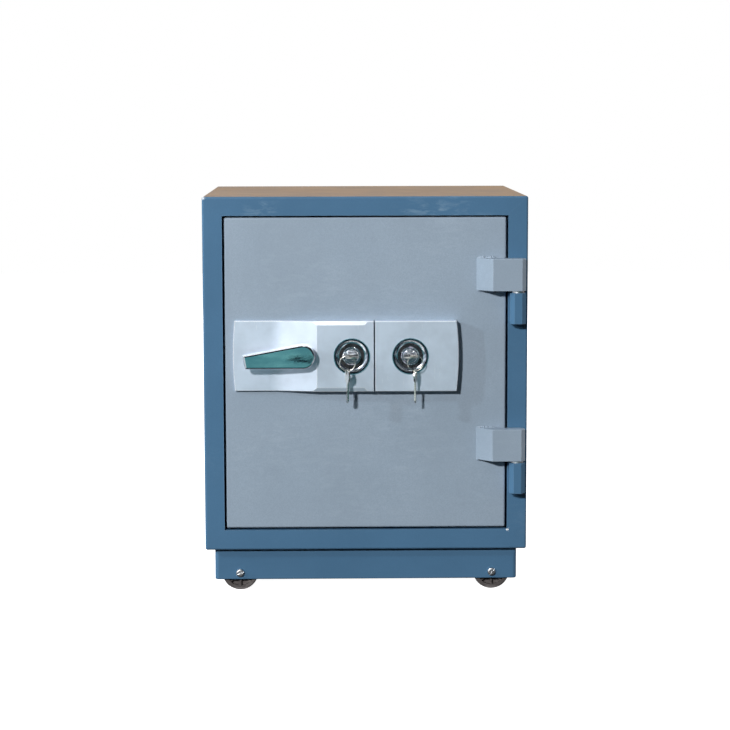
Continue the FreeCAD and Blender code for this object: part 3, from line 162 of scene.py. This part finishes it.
def sprayed_paint(name, color, wear_and_sheen, peel, rough, scuffs, speckle=0.3, shine=0.5, scuffed_above=None,
                  chips=()):
    """Powder paint over sheet steel: orange peel, faint clouding, scuffs, chips, and edges lightened partly
    by rubbed paint and partly as a painted highlight.

    wear_and_sheen is the colour of rubbed paint and of the painted edge highlight, peel the depth of the
    orange peel, and scuffs, speckle and shine are how strong these show. Scuffs are faint below the height
    scuffed_above and behind the front. Each chip is a place and how far it reaches.
    """
    look = Look(name)
    clouds = look.noise(7.0, 4.0, 0.6)
    tint = look.mix(look.level(clouds, 0.3, 0.7), shade(color, 0.95), shade(color, 1.05))
    grain = look.noise(760.0, 3.0, 0.7)
    tint = look.mix(look.level(grain, 0.38, 0.62, 0.0, speckle), tint, shade(color, 0.84))
    slant = math.radians(-34)
    streak = look.noise(40.0, 4.0, 0.65, warp=0.6, stretch=(1, 1, 3.2), turn=(0, slant, 0))
    patch = look.noise(7.0, 2.0, 0.5, shift=(3, 1, 2))
    rubbed = look.math("MULTIPLY", look.level(streak, 0.45, 0.68), look.level(patch, 0.40, 0.60, 0.0, scuffs))
    if scuffed_above:
        fade_down, fade_back = 6 * MM, 4 * MM
        where = look.axes()
        high = look.level(where["Z"], scuffed_above - fade_down, scuffed_above, 0.12, 1.0)
        front = look.level(where["Y"], casing_low.y, casing_low.y + fade_back, 1.0, 0.15)
        rubbed = look.math("MULTIPLY", rubbed, look.math("MULTIPLY", high, front))
    tint = look.mix(rubbed, tint, wear_and_sheen)
    # Edges lightened towards the same colour, broken up by noise: partly rubbed paint, partly a painted
    # highlight.
    broken = look.level(look.noise(45.0, 4.0, 0.7), 0.3, 0.75, 0.25, 0.9)
    tint = look.mix(look.math("MULTIPLY", look.edge(1.1 * MM), broken), tint, wear_and_sheen)
    bared = (0.80, 0.84, 0.88)
    for place, reach in chips:
        ragged = look.level(look.noise(600.0, 3.0), 0.3, 0.7, 0.0, reach)
        away = look.math("ADD", look.distance(look.place, place), ragged)
        tint = look.mix(look.level(away, reach, reach * 1.1, 1.0, 0.0), tint, bared)
    sheen = look.noise(18.0, 4.0, 0.6, shift=(1, 5, 2))
    roughness = look.level(sheen, 0.3, 0.7, rough - 0.02, rough + 0.03)
    skin = look.bump(look.noise(520.0, 2.0, 0.4), peel)
    skin = look.bump(look.noise(150.0, 2.0, 0.5), peel * 1.4, 0.6, skin)
    return look.done(tint, roughness, skin, Specular_IOR_Level=shine)


def brushed_metal(name, color, rough, stretch, line_scale, tarnish=0.85):
    """Bare or plated steel with fine lines along one direction, stains, small nicks and a painted highlight
    on its edges.
    """
    look = Look(name)
    depth = 0.01 * MM
    lines = look.noise(line_scale, 3.0, 0.6, stretch=stretch)
    stain = look.noise(38.0, 4.0, 0.65, shift=(2, 7, 1))
    tint = look.mix(look.level(stain, 0.35, 0.7), shade(color, tarnish), color)
    tint = look.mix(look.level(lines, 0.3, 0.7, 0.0, 0.35), tint, shade(color, 0.8))
    # Edges lightened: a painted highlight.
    tint = look.mix(look.math("MULTIPLY", look.edge(0.5 * MM), 0.5), tint, shade(color, 1.3))
    roughness = look.math("ADD", look.level(lines, 0.3, 0.7, rough - 0.06, rough + 0.06),
                          look.level(stain, 0.4, 0.8, 0.0, 0.1))
    skin = look.bump(lines, depth)
    skin = look.bump(look.cells(320.0), depth * 2, 0.15, skin)
    return look.done(tint, roughness, skin, Metallic=1.0)


def satin_plating():
    """Satin silver finish of the two door plates: fine grain, faint clouds, hair scratches, and edges and
    ridges painted white as a highlight.
    """
    color = (0.672, 0.75, 0.862)
    look = Look("satin_plate")
    clouds = look.noise(24.0, 4.0, 0.6)
    tint = look.mix(look.level(clouds, 0.3, 0.7), shade(color, 0.92), shade(color, 1.05))
    hair = look.noise(46.0, 2.0, 0.5, stretch=(14, 1, 1.4), turn=(0, math.radians(52), 0))
    wear = look.noise(20.0, 2.0, 0.5, shift=(9, 0, 4))
    scratch = look.math("MULTIPLY", look.level(hair, 0.66, 0.72), look.level(wear, 0.5, 0.62, 0.0, 0.35))
    tint = look.mix(scratch, tint, (0.9, 0.95, 1.0))
    # Edges and the shallow ridge painted white: a painted highlight.
    tint = look.mix(look.edge(0.9 * MM, 0.0006, 0.003), tint, (1.0, 1.0, 1.0))
    roughness = look.level(look.noise(2400.0, 2.0), 0.3, 0.7, 0.33, 0.38)
    skin = look.bump(look.noise(3200.0, 1.0), 0.004 * MM)
    skin = look.bump(scratch, -0.01 * MM, 0.6, skin)
    return look.done(tint, roughness, skin, Metallic=0.60)


def chrome_plating(name, color, rough, haze=0.03):
    """Bright plating with smudges and hairline wear."""
    look = Look(name)
    smudge = look.noise(55.0, 4.0, 0.65, warp=0.4)
    tint = look.mix(look.level(smudge, 0.45, 0.75, 0.0, 0.5), color, shade(color, 0.86))
    hair = look.noise(70.0, 2.0, 0.5, stretch=(12, 1, 1), turn=(0, math.radians(55), 0))
    roughness = look.math("ADD", look.level(smudge, 0.4, 0.75, rough, rough + haze),
                          look.level(hair, 0.62, 0.72, 0.0, haze))
    skin = look.bump(look.noise(90.0, 2.0, 0.5), 0.012 * MM, 0.6)
    skin = look.bump(hair, 0.003 * MM, 0.5, skin)
    return look.done(tint, roughness, skin, Metallic=1.0)


def moulded(name, color, rough, dust_and_sheen, grain=700.0, depth=0.03 * MM):
    """Moulded plastic or rubber with a fine grain, dust in patches, and edges lightened with the same colour
    as a painted highlight.
    """
    look = Look(name)
    patch = look.noise(60.0, 5.0, 0.7)
    tint = look.mix(look.level(patch, 0.4, 0.75, 0.0, 0.6), color, dust_and_sheen)
    # Edges lightened towards the dust colour: a painted highlight.
    tint = look.mix(look.math("MULTIPLY", look.edge(0.6 * MM), 0.35), tint, dust_and_sheen)
    roughness = look.level(patch, 0.3, 0.7, rough - 0.06, rough + 0.12)
    skin = look.bump(look.noise(grain, 3.0, 0.6), depth)
    return look.done(tint, roughness, skin)


def cast_fill():
    """Pale cast filling: pitted, mottled, dry, with painted shade in the pits."""
    look = Look("fire_fill")
    mottle = look.noise(45.0, 6.0, 0.7)
    tint = look.mix(look.level(mottle, 0.3, 0.7), (0.46, 0.43, 0.38), (0.62, 0.60, 0.55))
    pits = look.level(look.cells(260.0), 0.0, 0.35)
    # The pits are darkened: painted shade in the hollows.
    tint = look.mix(look.math("MULTIPLY", look.math("SUBTRACT", 1.0, pits), 0.5), tint, (0.2, 0.18, 0.16))
    skin = look.bump(pits, 0.4 * MM, 0.7)
    skin = look.bump(look.noise(500.0, 4.0, 0.7), 0.12 * MM, 1.0, skin)
    return look.done(tint, look.level(mottle, 0.3, 0.7, 0.85, 0.95), skin)


chipped_corner = (casing_low.x + 2 * MM, casing_low.y, casing_high.z - 1 * MM)
chipped_jamb = (jamb_high.x - 1 * MM, casing_low.y, jamb_low.z + 1 * MM)

LOOKS = {
    "blue_paint": sprayed_paint(
        "blue_paint", (0.0714, 0.163, 0.275), wear_and_sheen=(0.24, 0.36, 0.47), peel=0.05 * MM, rough=0.31,
        scuffs=0.60, shine=0.15, scuffed_above=jamb_high.z,
        chips=((chipped_corner, 3.6 * MM), (chipped_jamb, 3.0 * MM))),
    "grey_paint": sprayed_paint(
        "grey_paint", (0.290, 0.360, 0.440), wear_and_sheen=(0.55, 0.64, 0.72), peel=0.08 * MM, rough=0.38,
        scuffs=0.08, speckle=0.6),
    "liner_paint": sprayed_paint(
        "liner_paint", (0.46, 0.49, 0.51), wear_and_sheen=(0.64, 0.66, 0.67), peel=0.05 * MM, rough=0.50,
        scuffs=0.15),
    "satin_plate": satin_plating(),
    "chrome": chrome_plating("chrome", (0.66, 0.73, 0.83), rough=0.11),
    "dark_chrome": chrome_plating("dark_chrome", (0.30, 0.33, 0.38), rough=0.16),
    "key_nickel": brushed_metal("key_nickel", (0.80, 0.77, 0.70), 0.24, stretch=(1, 1, 12), line_scale=160.0),
    "bare_steel": brushed_metal("bare_steel", (0.56, 0.56, 0.57), 0.30, stretch=(1, 40, 40), line_scale=60.0),
    "zinc_plate": brushed_metal(
        "zinc_plate", (0.68, 0.70, 0.72), 0.34, stretch=(1, 1, 3), line_scale=220.0, tarnish=0.9),
    "brass": brushed_metal("brass", (0.78, 0.60, 0.30), 0.30, stretch=(1, 30, 1), line_scale=80.0),
    "black_plastic": moulded(
        "black_plastic", (0.012, 0.012, 0.014), 0.25, dust_and_sheen=(0.05, 0.05, 0.05), grain=900.0, depth=0.01 * MM),
    "wheel_plastic": moulded("wheel_plastic", (0.088, 0.076, 0.074), 0.42, dust_and_sheen=(0.20, 0.18, 0.17)),
    "seal_rubber": moulded("seal_rubber", (0.020, 0.020, 0.021), 0.60, dust_and_sheen=(0.07, 0.07, 0.07)),
    "fire_fill": cast_fill(),
}

node_slots = {part["node"]: part["material_slot"] for part in frame["record"]["subparts"]}
for node, piece in CAD_NODES.items():
    piece.data.materials.clear()
    piece.data.materials.append(LOOKS[node_slots[node]])
mirror_chrome = chrome_plating("mirror_chrome", (0.90, 0.92, 0.94), rough=0.014, haze=0.012)
CAD_NODES["lever_handle"].data.materials[0] = mirror_chrome


# ---- Pieces that the frame leaves to the looks -------------------------------------------------------

def add_piece(name, build, slot, body):
    """A smooth piece made by build(bmesh), with the finish of a record slot, riding on a body."""
    shape = bmesh.new()
    build(shape)
    bmesh.ops.recalc_face_normals(shape, faces=shape.faces)
    mesh = bpy.data.meshes.new(name)
    shape.to_mesh(mesh)
    shape.free()
    for face in mesh.polygons:
        face.use_smooth = True
    mesh.materials.append(LOOKS[slot])
    piece = bpy.data.objects.new(name, mesh)
    bpy.context.scene.collection.objects.link(piece)
    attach(piece, body)
    return piece


def loft(shape, rings):
    """Faces between rings of as many points each, with both ends closed."""
    made = [[shape.verts.new(point) for point in ring] for ring in rings]
    count = len(made[0])
    for here, there in zip(made, made[1:]):
        for i in range(count):
            j = (i + 1) % count
            shape.faces.new((here[i], here[j], there[j], there[i]))
    shape.faces.new(made[0])
    shape.faces.new(made[-1][::-1])


def height_field(shape, columns, place):
    """A sheet of points; place(u, v) gives each one, and columns is how many there are along u and v."""
    across, up = columns
    grid = [[shape.verts.new(place(i / across, j / up)) for j in range(up + 1)] for i in range(across + 1)]
    for i in range(across):
        for j in range(up):
            shape.faces.new((grid[i][j], grid[i + 1][j], grid[i + 1][j + 1], grid[i][j + 1]))


def weld_bead(start, end, radius, seed):
    """A rippled, uneven bead between two points, thinner at its ends."""
    steps, sides, ripple = 60, 12, 3.1 * MM
    run = end - start
    along = run.normalized()
    out = Vector((0, -1, 0))
    up = along.cross(out).normalized()

    def build(shape):
        rings = []
        for i in range(steps + 1):
            share = i / steps
            wander = noise.noise(Vector((share * 5, seed, 0)))
            lump = noise.noise(Vector((share * 14, seed, 4)))
            size = radius * (1 + 0.06 * math.sin(2 * math.pi * share * run.length / ripple) + 0.45 * lump)
            size *= math.sqrt(max(0.02, 1 - (2 * share - 1) ** 8))
            middle = start + run * share + up * (wander * radius * 0.5)
            rings.append([
                middle + (out * math.cos(turn) * 0.8 + up * math.sin(turn)) * size
                for turn in (2 * math.pi * k / sides for k in range(sides))
            ])
        loft(shape, rings)

    return build


def add_weld_beads():
    """Beads above and below the foot of each hinge block, where it is welded to the door."""
    foot, radius = 27.0 * MM, 2.1 * MM
    inset, proud, gap = 0.8 * MM, 0.5 * MM, 0.3 * MM
    for seed, name in enumerate(("upper", "lower")):
        low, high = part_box("door_hinge_" + name)
        for edge, z in (("top", high.z + gap), ("bottom", low.z - gap)):
            start = Vector((low.x + inset, panel_low.y - proud, z))
            build = weld_bead(start, start + Vector((foot, 0, 0)), radius, seed * 2.7 + z)
            add_piece(f"hinge_weld_{name}_{edge}", build, "grey_paint", "door")


def add_mitre_welds():
    """The ground-down joints at the corners of the frame round the door, just proud of the face."""
    sheet = 2.0 * MM
    rim = 3.4 * MM
    half, proud = 0.7 * MM, 0.14 * MM
    for name, side, level in (("tl", -1, 1), ("tr", 1, 1), ("bl", -1, -1), ("br", 1, -1)):
        inner = Vector((side * (jamb_high.x - sheet), casing_low.y,
                        jamb_high.z - sheet if level > 0 else jamb_low.z + sheet))
        outer = Vector((side * (casing_high.x - rim), casing_low.y,
                        casing_high.z - rim if level > 0 else casing_low.z + rim))
        along = (outer - inner).normalized()
        across = Vector((-along.z, 0, along.x))

        def place(u, v):
            point = inner.lerp(outer, u)
            ground = 0.55 + 0.45 * noise.noise(Vector((u * 9, side, level)))
            ends = max(0.0, math.sin(math.pi * u)) ** 0.3
            lift = proud * ground * math.sin(math.pi * v) * ends
            return point + across * half * (2 * v - 1) + Vector((0, -lift, 0))

        add_piece("mitre_weld_" + name, lambda shape: height_field(shape, (40, 6), place),
                  "blue_paint", "root")


def add_split_rings():
    """Key rings of flat wire wound twice, in place of the plain rings."""
    turns, steps, sides = 2.0, 120, 12
    wide, thick = 0.66 * MM, 0.33 * MM
    pitch = 0.66 * MM
    for side in ("left", "right"):
        low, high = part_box("key_ring_" + side)
        middle = (low + high) / 2
        radius = (high.x - low.x) / 2 - (high.y - low.y) / 2
        start = math.radians(200)

        def build(shape):
            rings = []
            for i in range(steps + 1):
                share = i / steps
                turn = start + 2 * math.pi * turns * share
                out = Vector((math.cos(turn), 0, math.sin(turn)))
                centre = middle + out * radius + Vector((0, (share - 0.5) * pitch * turns / 2, 0))
                rings.append([
                    centre + out * math.cos(a) * wide + Vector((0, math.sin(a) * thick, 0))
                    for a in (2 * math.pi * k / sides for k in range(sides))
                ])
            loft(shape, rings)

        ring = add_piece("split_ring_" + side, build, "key_nickel", "ring_" + side)
        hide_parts("key_ring_" + side)


def add_lock_faces():
    """A plain knurl on each plug above and below its keyhole, a ridge round it, and flutes on the sleeve."""
    disc_r, slot_half, relief, cut = 8.3 * MM, 1.75 * MM, 0.30 * MM, 2.3 * MM
    ridge_in, ridge_out = 9.0 * MM, 10.4 * MM
    flute_in, flute_out, flutes = 11.4 * MM, 13.1 * MM, 26
    knurl_gap, band_gap = 0.05 * MM, 0.03 * MM
    for side in ("left", "right"):
        low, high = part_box("plug_" + side)
        middle = Vector(((low.x + high.x) / 2, low.y, (low.z + high.z) / 2))
        for way, half_name in ((1, "upper"), (-1, "lower")):
            reach = math.sqrt(disc_r ** 2 - slot_half ** 2)

            def knurl(u, v):
                x = reach * (2 * u - 1)
                top = math.sqrt(max(0.0, disc_r ** 2 - x ** 2))
                z = slot_half + (top - slot_half) * v
                bump = abs(math.sin(math.pi * (x + z) / cut) * math.sin(math.pi * (x - z) / cut))
                rim = min(1.0, 12 * min(u, 1 - u), 8 * min(v, 1 - v))
                return middle + Vector((x, -knurl_gap - relief * bump * rim, way * z))

            add_piece(f"plug_knurl_{half_name}_{side}", lambda shape: height_field(shape, (72, 36), knurl),
                      "dark_chrome", "plug_" + side)

        def round_band(inner, outer, lift_at):
            def place(u, v):
                turn = 2 * math.pi * u
                r = inner + (outer - inner) * v
                lift = band_gap + relief * lift_at(turn) * math.sin(math.pi * v)
                return middle + Vector((r * math.cos(turn), -lift, r * math.sin(turn)))
            return place

        ridge = round_band(ridge_in, ridge_out, lambda turn: 1.0)
        fluted = round_band(flute_in, flute_out, lambda turn: max(0.0, math.sin(flutes * turn)))
        add_piece("plug_ridge_" + side, lambda shape: height_field(shape, (96, 8), ridge),
                  "chrome", "plug_" + side)
        add_piece("sleeve_flutes_" + side, lambda shape: height_field(shape, (312, 8), fluted),
                  "dark_chrome", "door")


add_weld_beads()
add_mitre_welds()
add_split_rings()
add_lock_faces()


# ---- Floor, light and camera -------------------------------------------------------------------------

def add_ground(name, material, height, half=6.0):
    """A square sheet of floor that doesn't light matt surfaces."""
    mesh = bpy.data.meshes.new(name)
    corners = [(-half, -half, height), (half, -half, height), (half, half, height), (-half, half, height)]
    mesh.from_pydata(corners, [], [(0, 1, 2, 3)])
    mesh.materials.append(material)
    ground = bpy.data.objects.new(name, mesh)
    bpy.context.scene.collection.objects.link(ground)
    ground.visible_diffuse = False
    return ground


def add_floor():
    """A plain pale floor, lit evenly."""
    look = Look("studio_floor")
    clouds = look.noise(3.0, 4.0, 0.6)
    tint = look.mix(clouds, (0.86, 0.86, 0.86), (0.90, 0.90, 0.90))
    look.feed(look.shader.inputs["Emission Color"], (1.0, 1.0, 1.0))
    look.feed(look.shader.inputs["Emission Strength"], 1.0)
    grain = look.bump(look.noise(300.0, 3.0), 0.05 * MM)
    look.done(tint, look.level(clouds, 0.3, 0.7, 0.75, 0.85), grain)
    floor = add_ground("studio_floor", look.material, 0.0)


def add_mat():
    """What glossy surfaces see of the floor: a dull green-blue mat with a few dark streaks in front of the
    safe, painted shade close to it, and pale beside it, behind it and far to the left."""
    look = Look("studio_mat")
    clouds = look.noise(9.0, 4.0, 0.6, stretch=(1, 0.4, 1))
    tint = look.mix(look.level(clouds, 0.35, 0.65), (0.042, 0.140, 0.158), (0.082, 0.228, 0.236))
    # A few dark streaks painted on the mat in front of the safe, seen only in reflections.
    streaks_x, streaks_y, squash = -0.124, casing_low.y - 3.0, 0.45
    dark_streaks = look.level(look.noise(34.0, 3.0, 0.6, warp=1.4, stretch=(0.7, 0.8, 1)), 0.48, 0.53)
    away = look.distance(look.stretched(stretch=(1, squash, 1)), (streaks_x, streaks_y * squash, 0))
    dark_streaks = look.math("MULTIPLY", dark_streaks, look.level(away, 0.036, 0.060, 1.0, 0.0))
    tint = look.mix(dark_streaks, tint, (0.002, 0.003, 0.008))
    where = look.axes()
    # Painted shade: the mat made almost black close to the front of the safe.
    shade_near_safe = look.level(where["Y"], casing_low.y - 0.50, casing_low.y - 0.28)
    tint = look.mix(shade_near_safe, tint, (0.008, 0.010, 0.012))
    beside = look.level(look.math("ABSOLUTE", where["X"]), casing_high.x, casing_high.x + 0.08)
    beside = look.math("MULTIPLY", beside, look.level(where["Y"], casing_low.y - 0.9, casing_low.y - 0.5))
    behind = look.level(where["Y"], casing_low.y + 0.15, casing_low.y + 0.25)
    far_left = look.level(where["X"], -1.15, -0.75, 1.0, 0.0)
    pale = look.math("MAXIMUM", look.math("MAXIMUM", beside, behind), far_left)
    tint = look.mix(pale, tint, (0.34, 0.36, 0.39))
    look.done(tint, look.level(clouds, 0.3, 0.7, 0.85, 0.95), Specular_IOR_Level=0.0)
    above_floor = 4 * MM
    mat = add_ground("studio_mat", look.material, above_floor)
    mat.visible_camera = False
    mat.visible_shadow = False


def add_light(name, place, target, size, energy, size_y=None, mirrored=True, color=(1.0, 1.0, 1.0)):
    """An area light. Glossy surfaces show it only if it is mirrored."""
    lamp = bpy.data.lights.new(name, "AREA")
    lamp.energy = energy
    lamp.color = color
    lamp.size = size
    if size_y:
        lamp.shape = "RECTANGLE"
        lamp.size_y = size_y
    holder = bpy.data.objects.new(name, lamp)
    holder.location = place
    holder.rotation_euler = (Vector(target) - Vector(place)).to_track_quat("-Z", "Y").to_euler()
    bpy.context.scene.collection.objects.link(holder)
    holder.visible_camera = False
    holder.visible_glossy = mirrored


def add_world():
    """White to the camera, dim to matt surfaces, and to glossy ones a dark studio that is pale above and to
    the left, and brown low behind the safe."""
    world = bpy.data.worlds.new("studio")
    bpy.context.scene.world = world
    world.use_nodes = True
    tree = world.node_tree
    background = tree.nodes["Background"]
    direction = tree.nodes.new("ShaderNodeTexCoord").outputs["Generated"]
    split = tree.nodes.new("ShaderNodeSeparateXYZ")
    tree.links.new(direction, split.inputs[0])

    def ramp(axis, low, high):
        """0 to 1 as the direction's part along an axis goes from low to high."""
        node = tree.nodes.new("ShaderNodeMapRange")
        node.interpolation_type = "SMOOTHSTEP"
        tree.links.new(split.outputs[axis], node.inputs["Value"])
        node.inputs["From Min"].default_value = low
        node.inputs["From Max"].default_value = high
        return node.outputs["Result"]

    def mix(share, a, b):
        node = tree.nodes.new("ShaderNodeMix")
        node.data_type = "RGBA"
        tree.links.new(share, node.inputs[0])
        for index, value in ((6, a), (7, b)):
            if isinstance(value, bpy.types.NodeSocket):
                tree.links.new(value, node.inputs[index])
            else:
                node.inputs[index].default_value = (*value, 1.0)
        return node.outputs[2]

    brown_low, grey_high, dark_right = (1.02, 0.54, 0.10), (0.60, 0.62, 0.65), (0.16, 0.125, 0.105)
    dark_front, pale_top = (0.028, 0.032, 0.040), (1.10, 1.13, 1.17)
    dark_floor, pale_left = (0.03, 0.05, 0.06), (1.10, 1.14, 1.20)
    dim_front, dim_back = (0.015, 0.017, 0.019), (0.20, 0.20, 0.21)
    back = mix(ramp("X", 0.45, 0.85), mix(ramp("Z", 0.55, 0.92), brown_low, grey_high), dark_right)
    left = mix(ramp("Z", -0.10, 0.10), dark_floor, pale_left)
    front = mix(ramp("X", -0.30, -0.50), mix(ramp("Z", 0.84, 0.96), dark_front, pale_top), left)
    shown = mix(ramp("Y", -0.20, 0.20), front, back)
    fill = mix(ramp("Y", -0.05, 0.35), dim_front, dim_back)
    rays = tree.nodes.new("ShaderNodeLightPath").outputs
    lit = mix(rays["Is Diffuse Ray"], shown, fill)
    tree.links.new(mix(rays["Is Camera Ray"], lit, (1.0, 1.0, 1.0)), background.inputs["Color"])
    background.inputs["Strength"].default_value = 1.0


def add_camera():
    """A long lens from well in front, a little above, as a fit to the corners of the body gave it."""
    sideways, in_front, above_base = -0.050, 3.09229, 0.63934
    pitch, yaw, roll = -0.1182, -0.0159, 0.0023
    eye = Vector((sideways, casing_low.y - in_front, casing_low.z + above_base))
    turn = Matrix.Rotation(yaw, 3, "Z") @ Matrix.Rotation(pitch, 3, "X") @ Matrix.Rotation(roll, 3, "Y")
    facing = Matrix(((1, 0, 0), (0, 0, -1), (0, 1, 0)))
    lens = bpy.data.cameras.new("camera")
    lens.lens = 105.891
    lens.sensor_width = 36.0
    lens.clip_end = 100.0
    camera = bpy.data.objects.new("camera", lens)
    camera.matrix_world = Matrix.LocRotScale(eye, (turn @ facing).to_quaternion(), None)
    bpy.context.scene.collection.objects.link(camera)
    bpy.context.scene.camera = camera


def add_lights():
    """A small hard key from the front left, two for the left side, weak ones above, and fills behind."""
    face, middle_height = casing_low.y, 0.32
    subject = (0.0, face, middle_height)
    add_light("key", (-2.18, face - 5.44, 2.56), subject, size=0.38, energy=340.0)
    add_light("left", (-2.6, face - 1.15, 1.50), subject, size=0.09, energy=28.0, mirrored=False,
              color=(0.78, 0.93, 1.0))
    add_light("side", (-3.0, face - 0.14, 1.10), subject, size=0.8, energy=44.0, mirrored=False)
    add_light("top_front", (0.1, face - 1.6, 2.2), subject, size=0.5, energy=2.0)
    add_light("strip", (-0.2, face - 0.35, 1.9), (-0.2, face - 0.35, 0.0), size=2.4, energy=2.4, size_y=0.22)
    add_light("overhead", (0.0, 1.6, 2.8), (0.0, 0.6, 0.0), size=2.6, energy=6.0)
    add_light("right_fill", (3.4, 1.3, 1.3), subject, size=1.6, energy=62.0, mirrored=False)
    add_light("back_fill", (-0.9, 4.2, 1.2), subject, size=1.6, energy=55.0, mirrored=False)


add_floor()
add_mat()
add_world()
add_camera()
add_lights()
bpy.context.scene.view_settings.view_transform = "Standard"
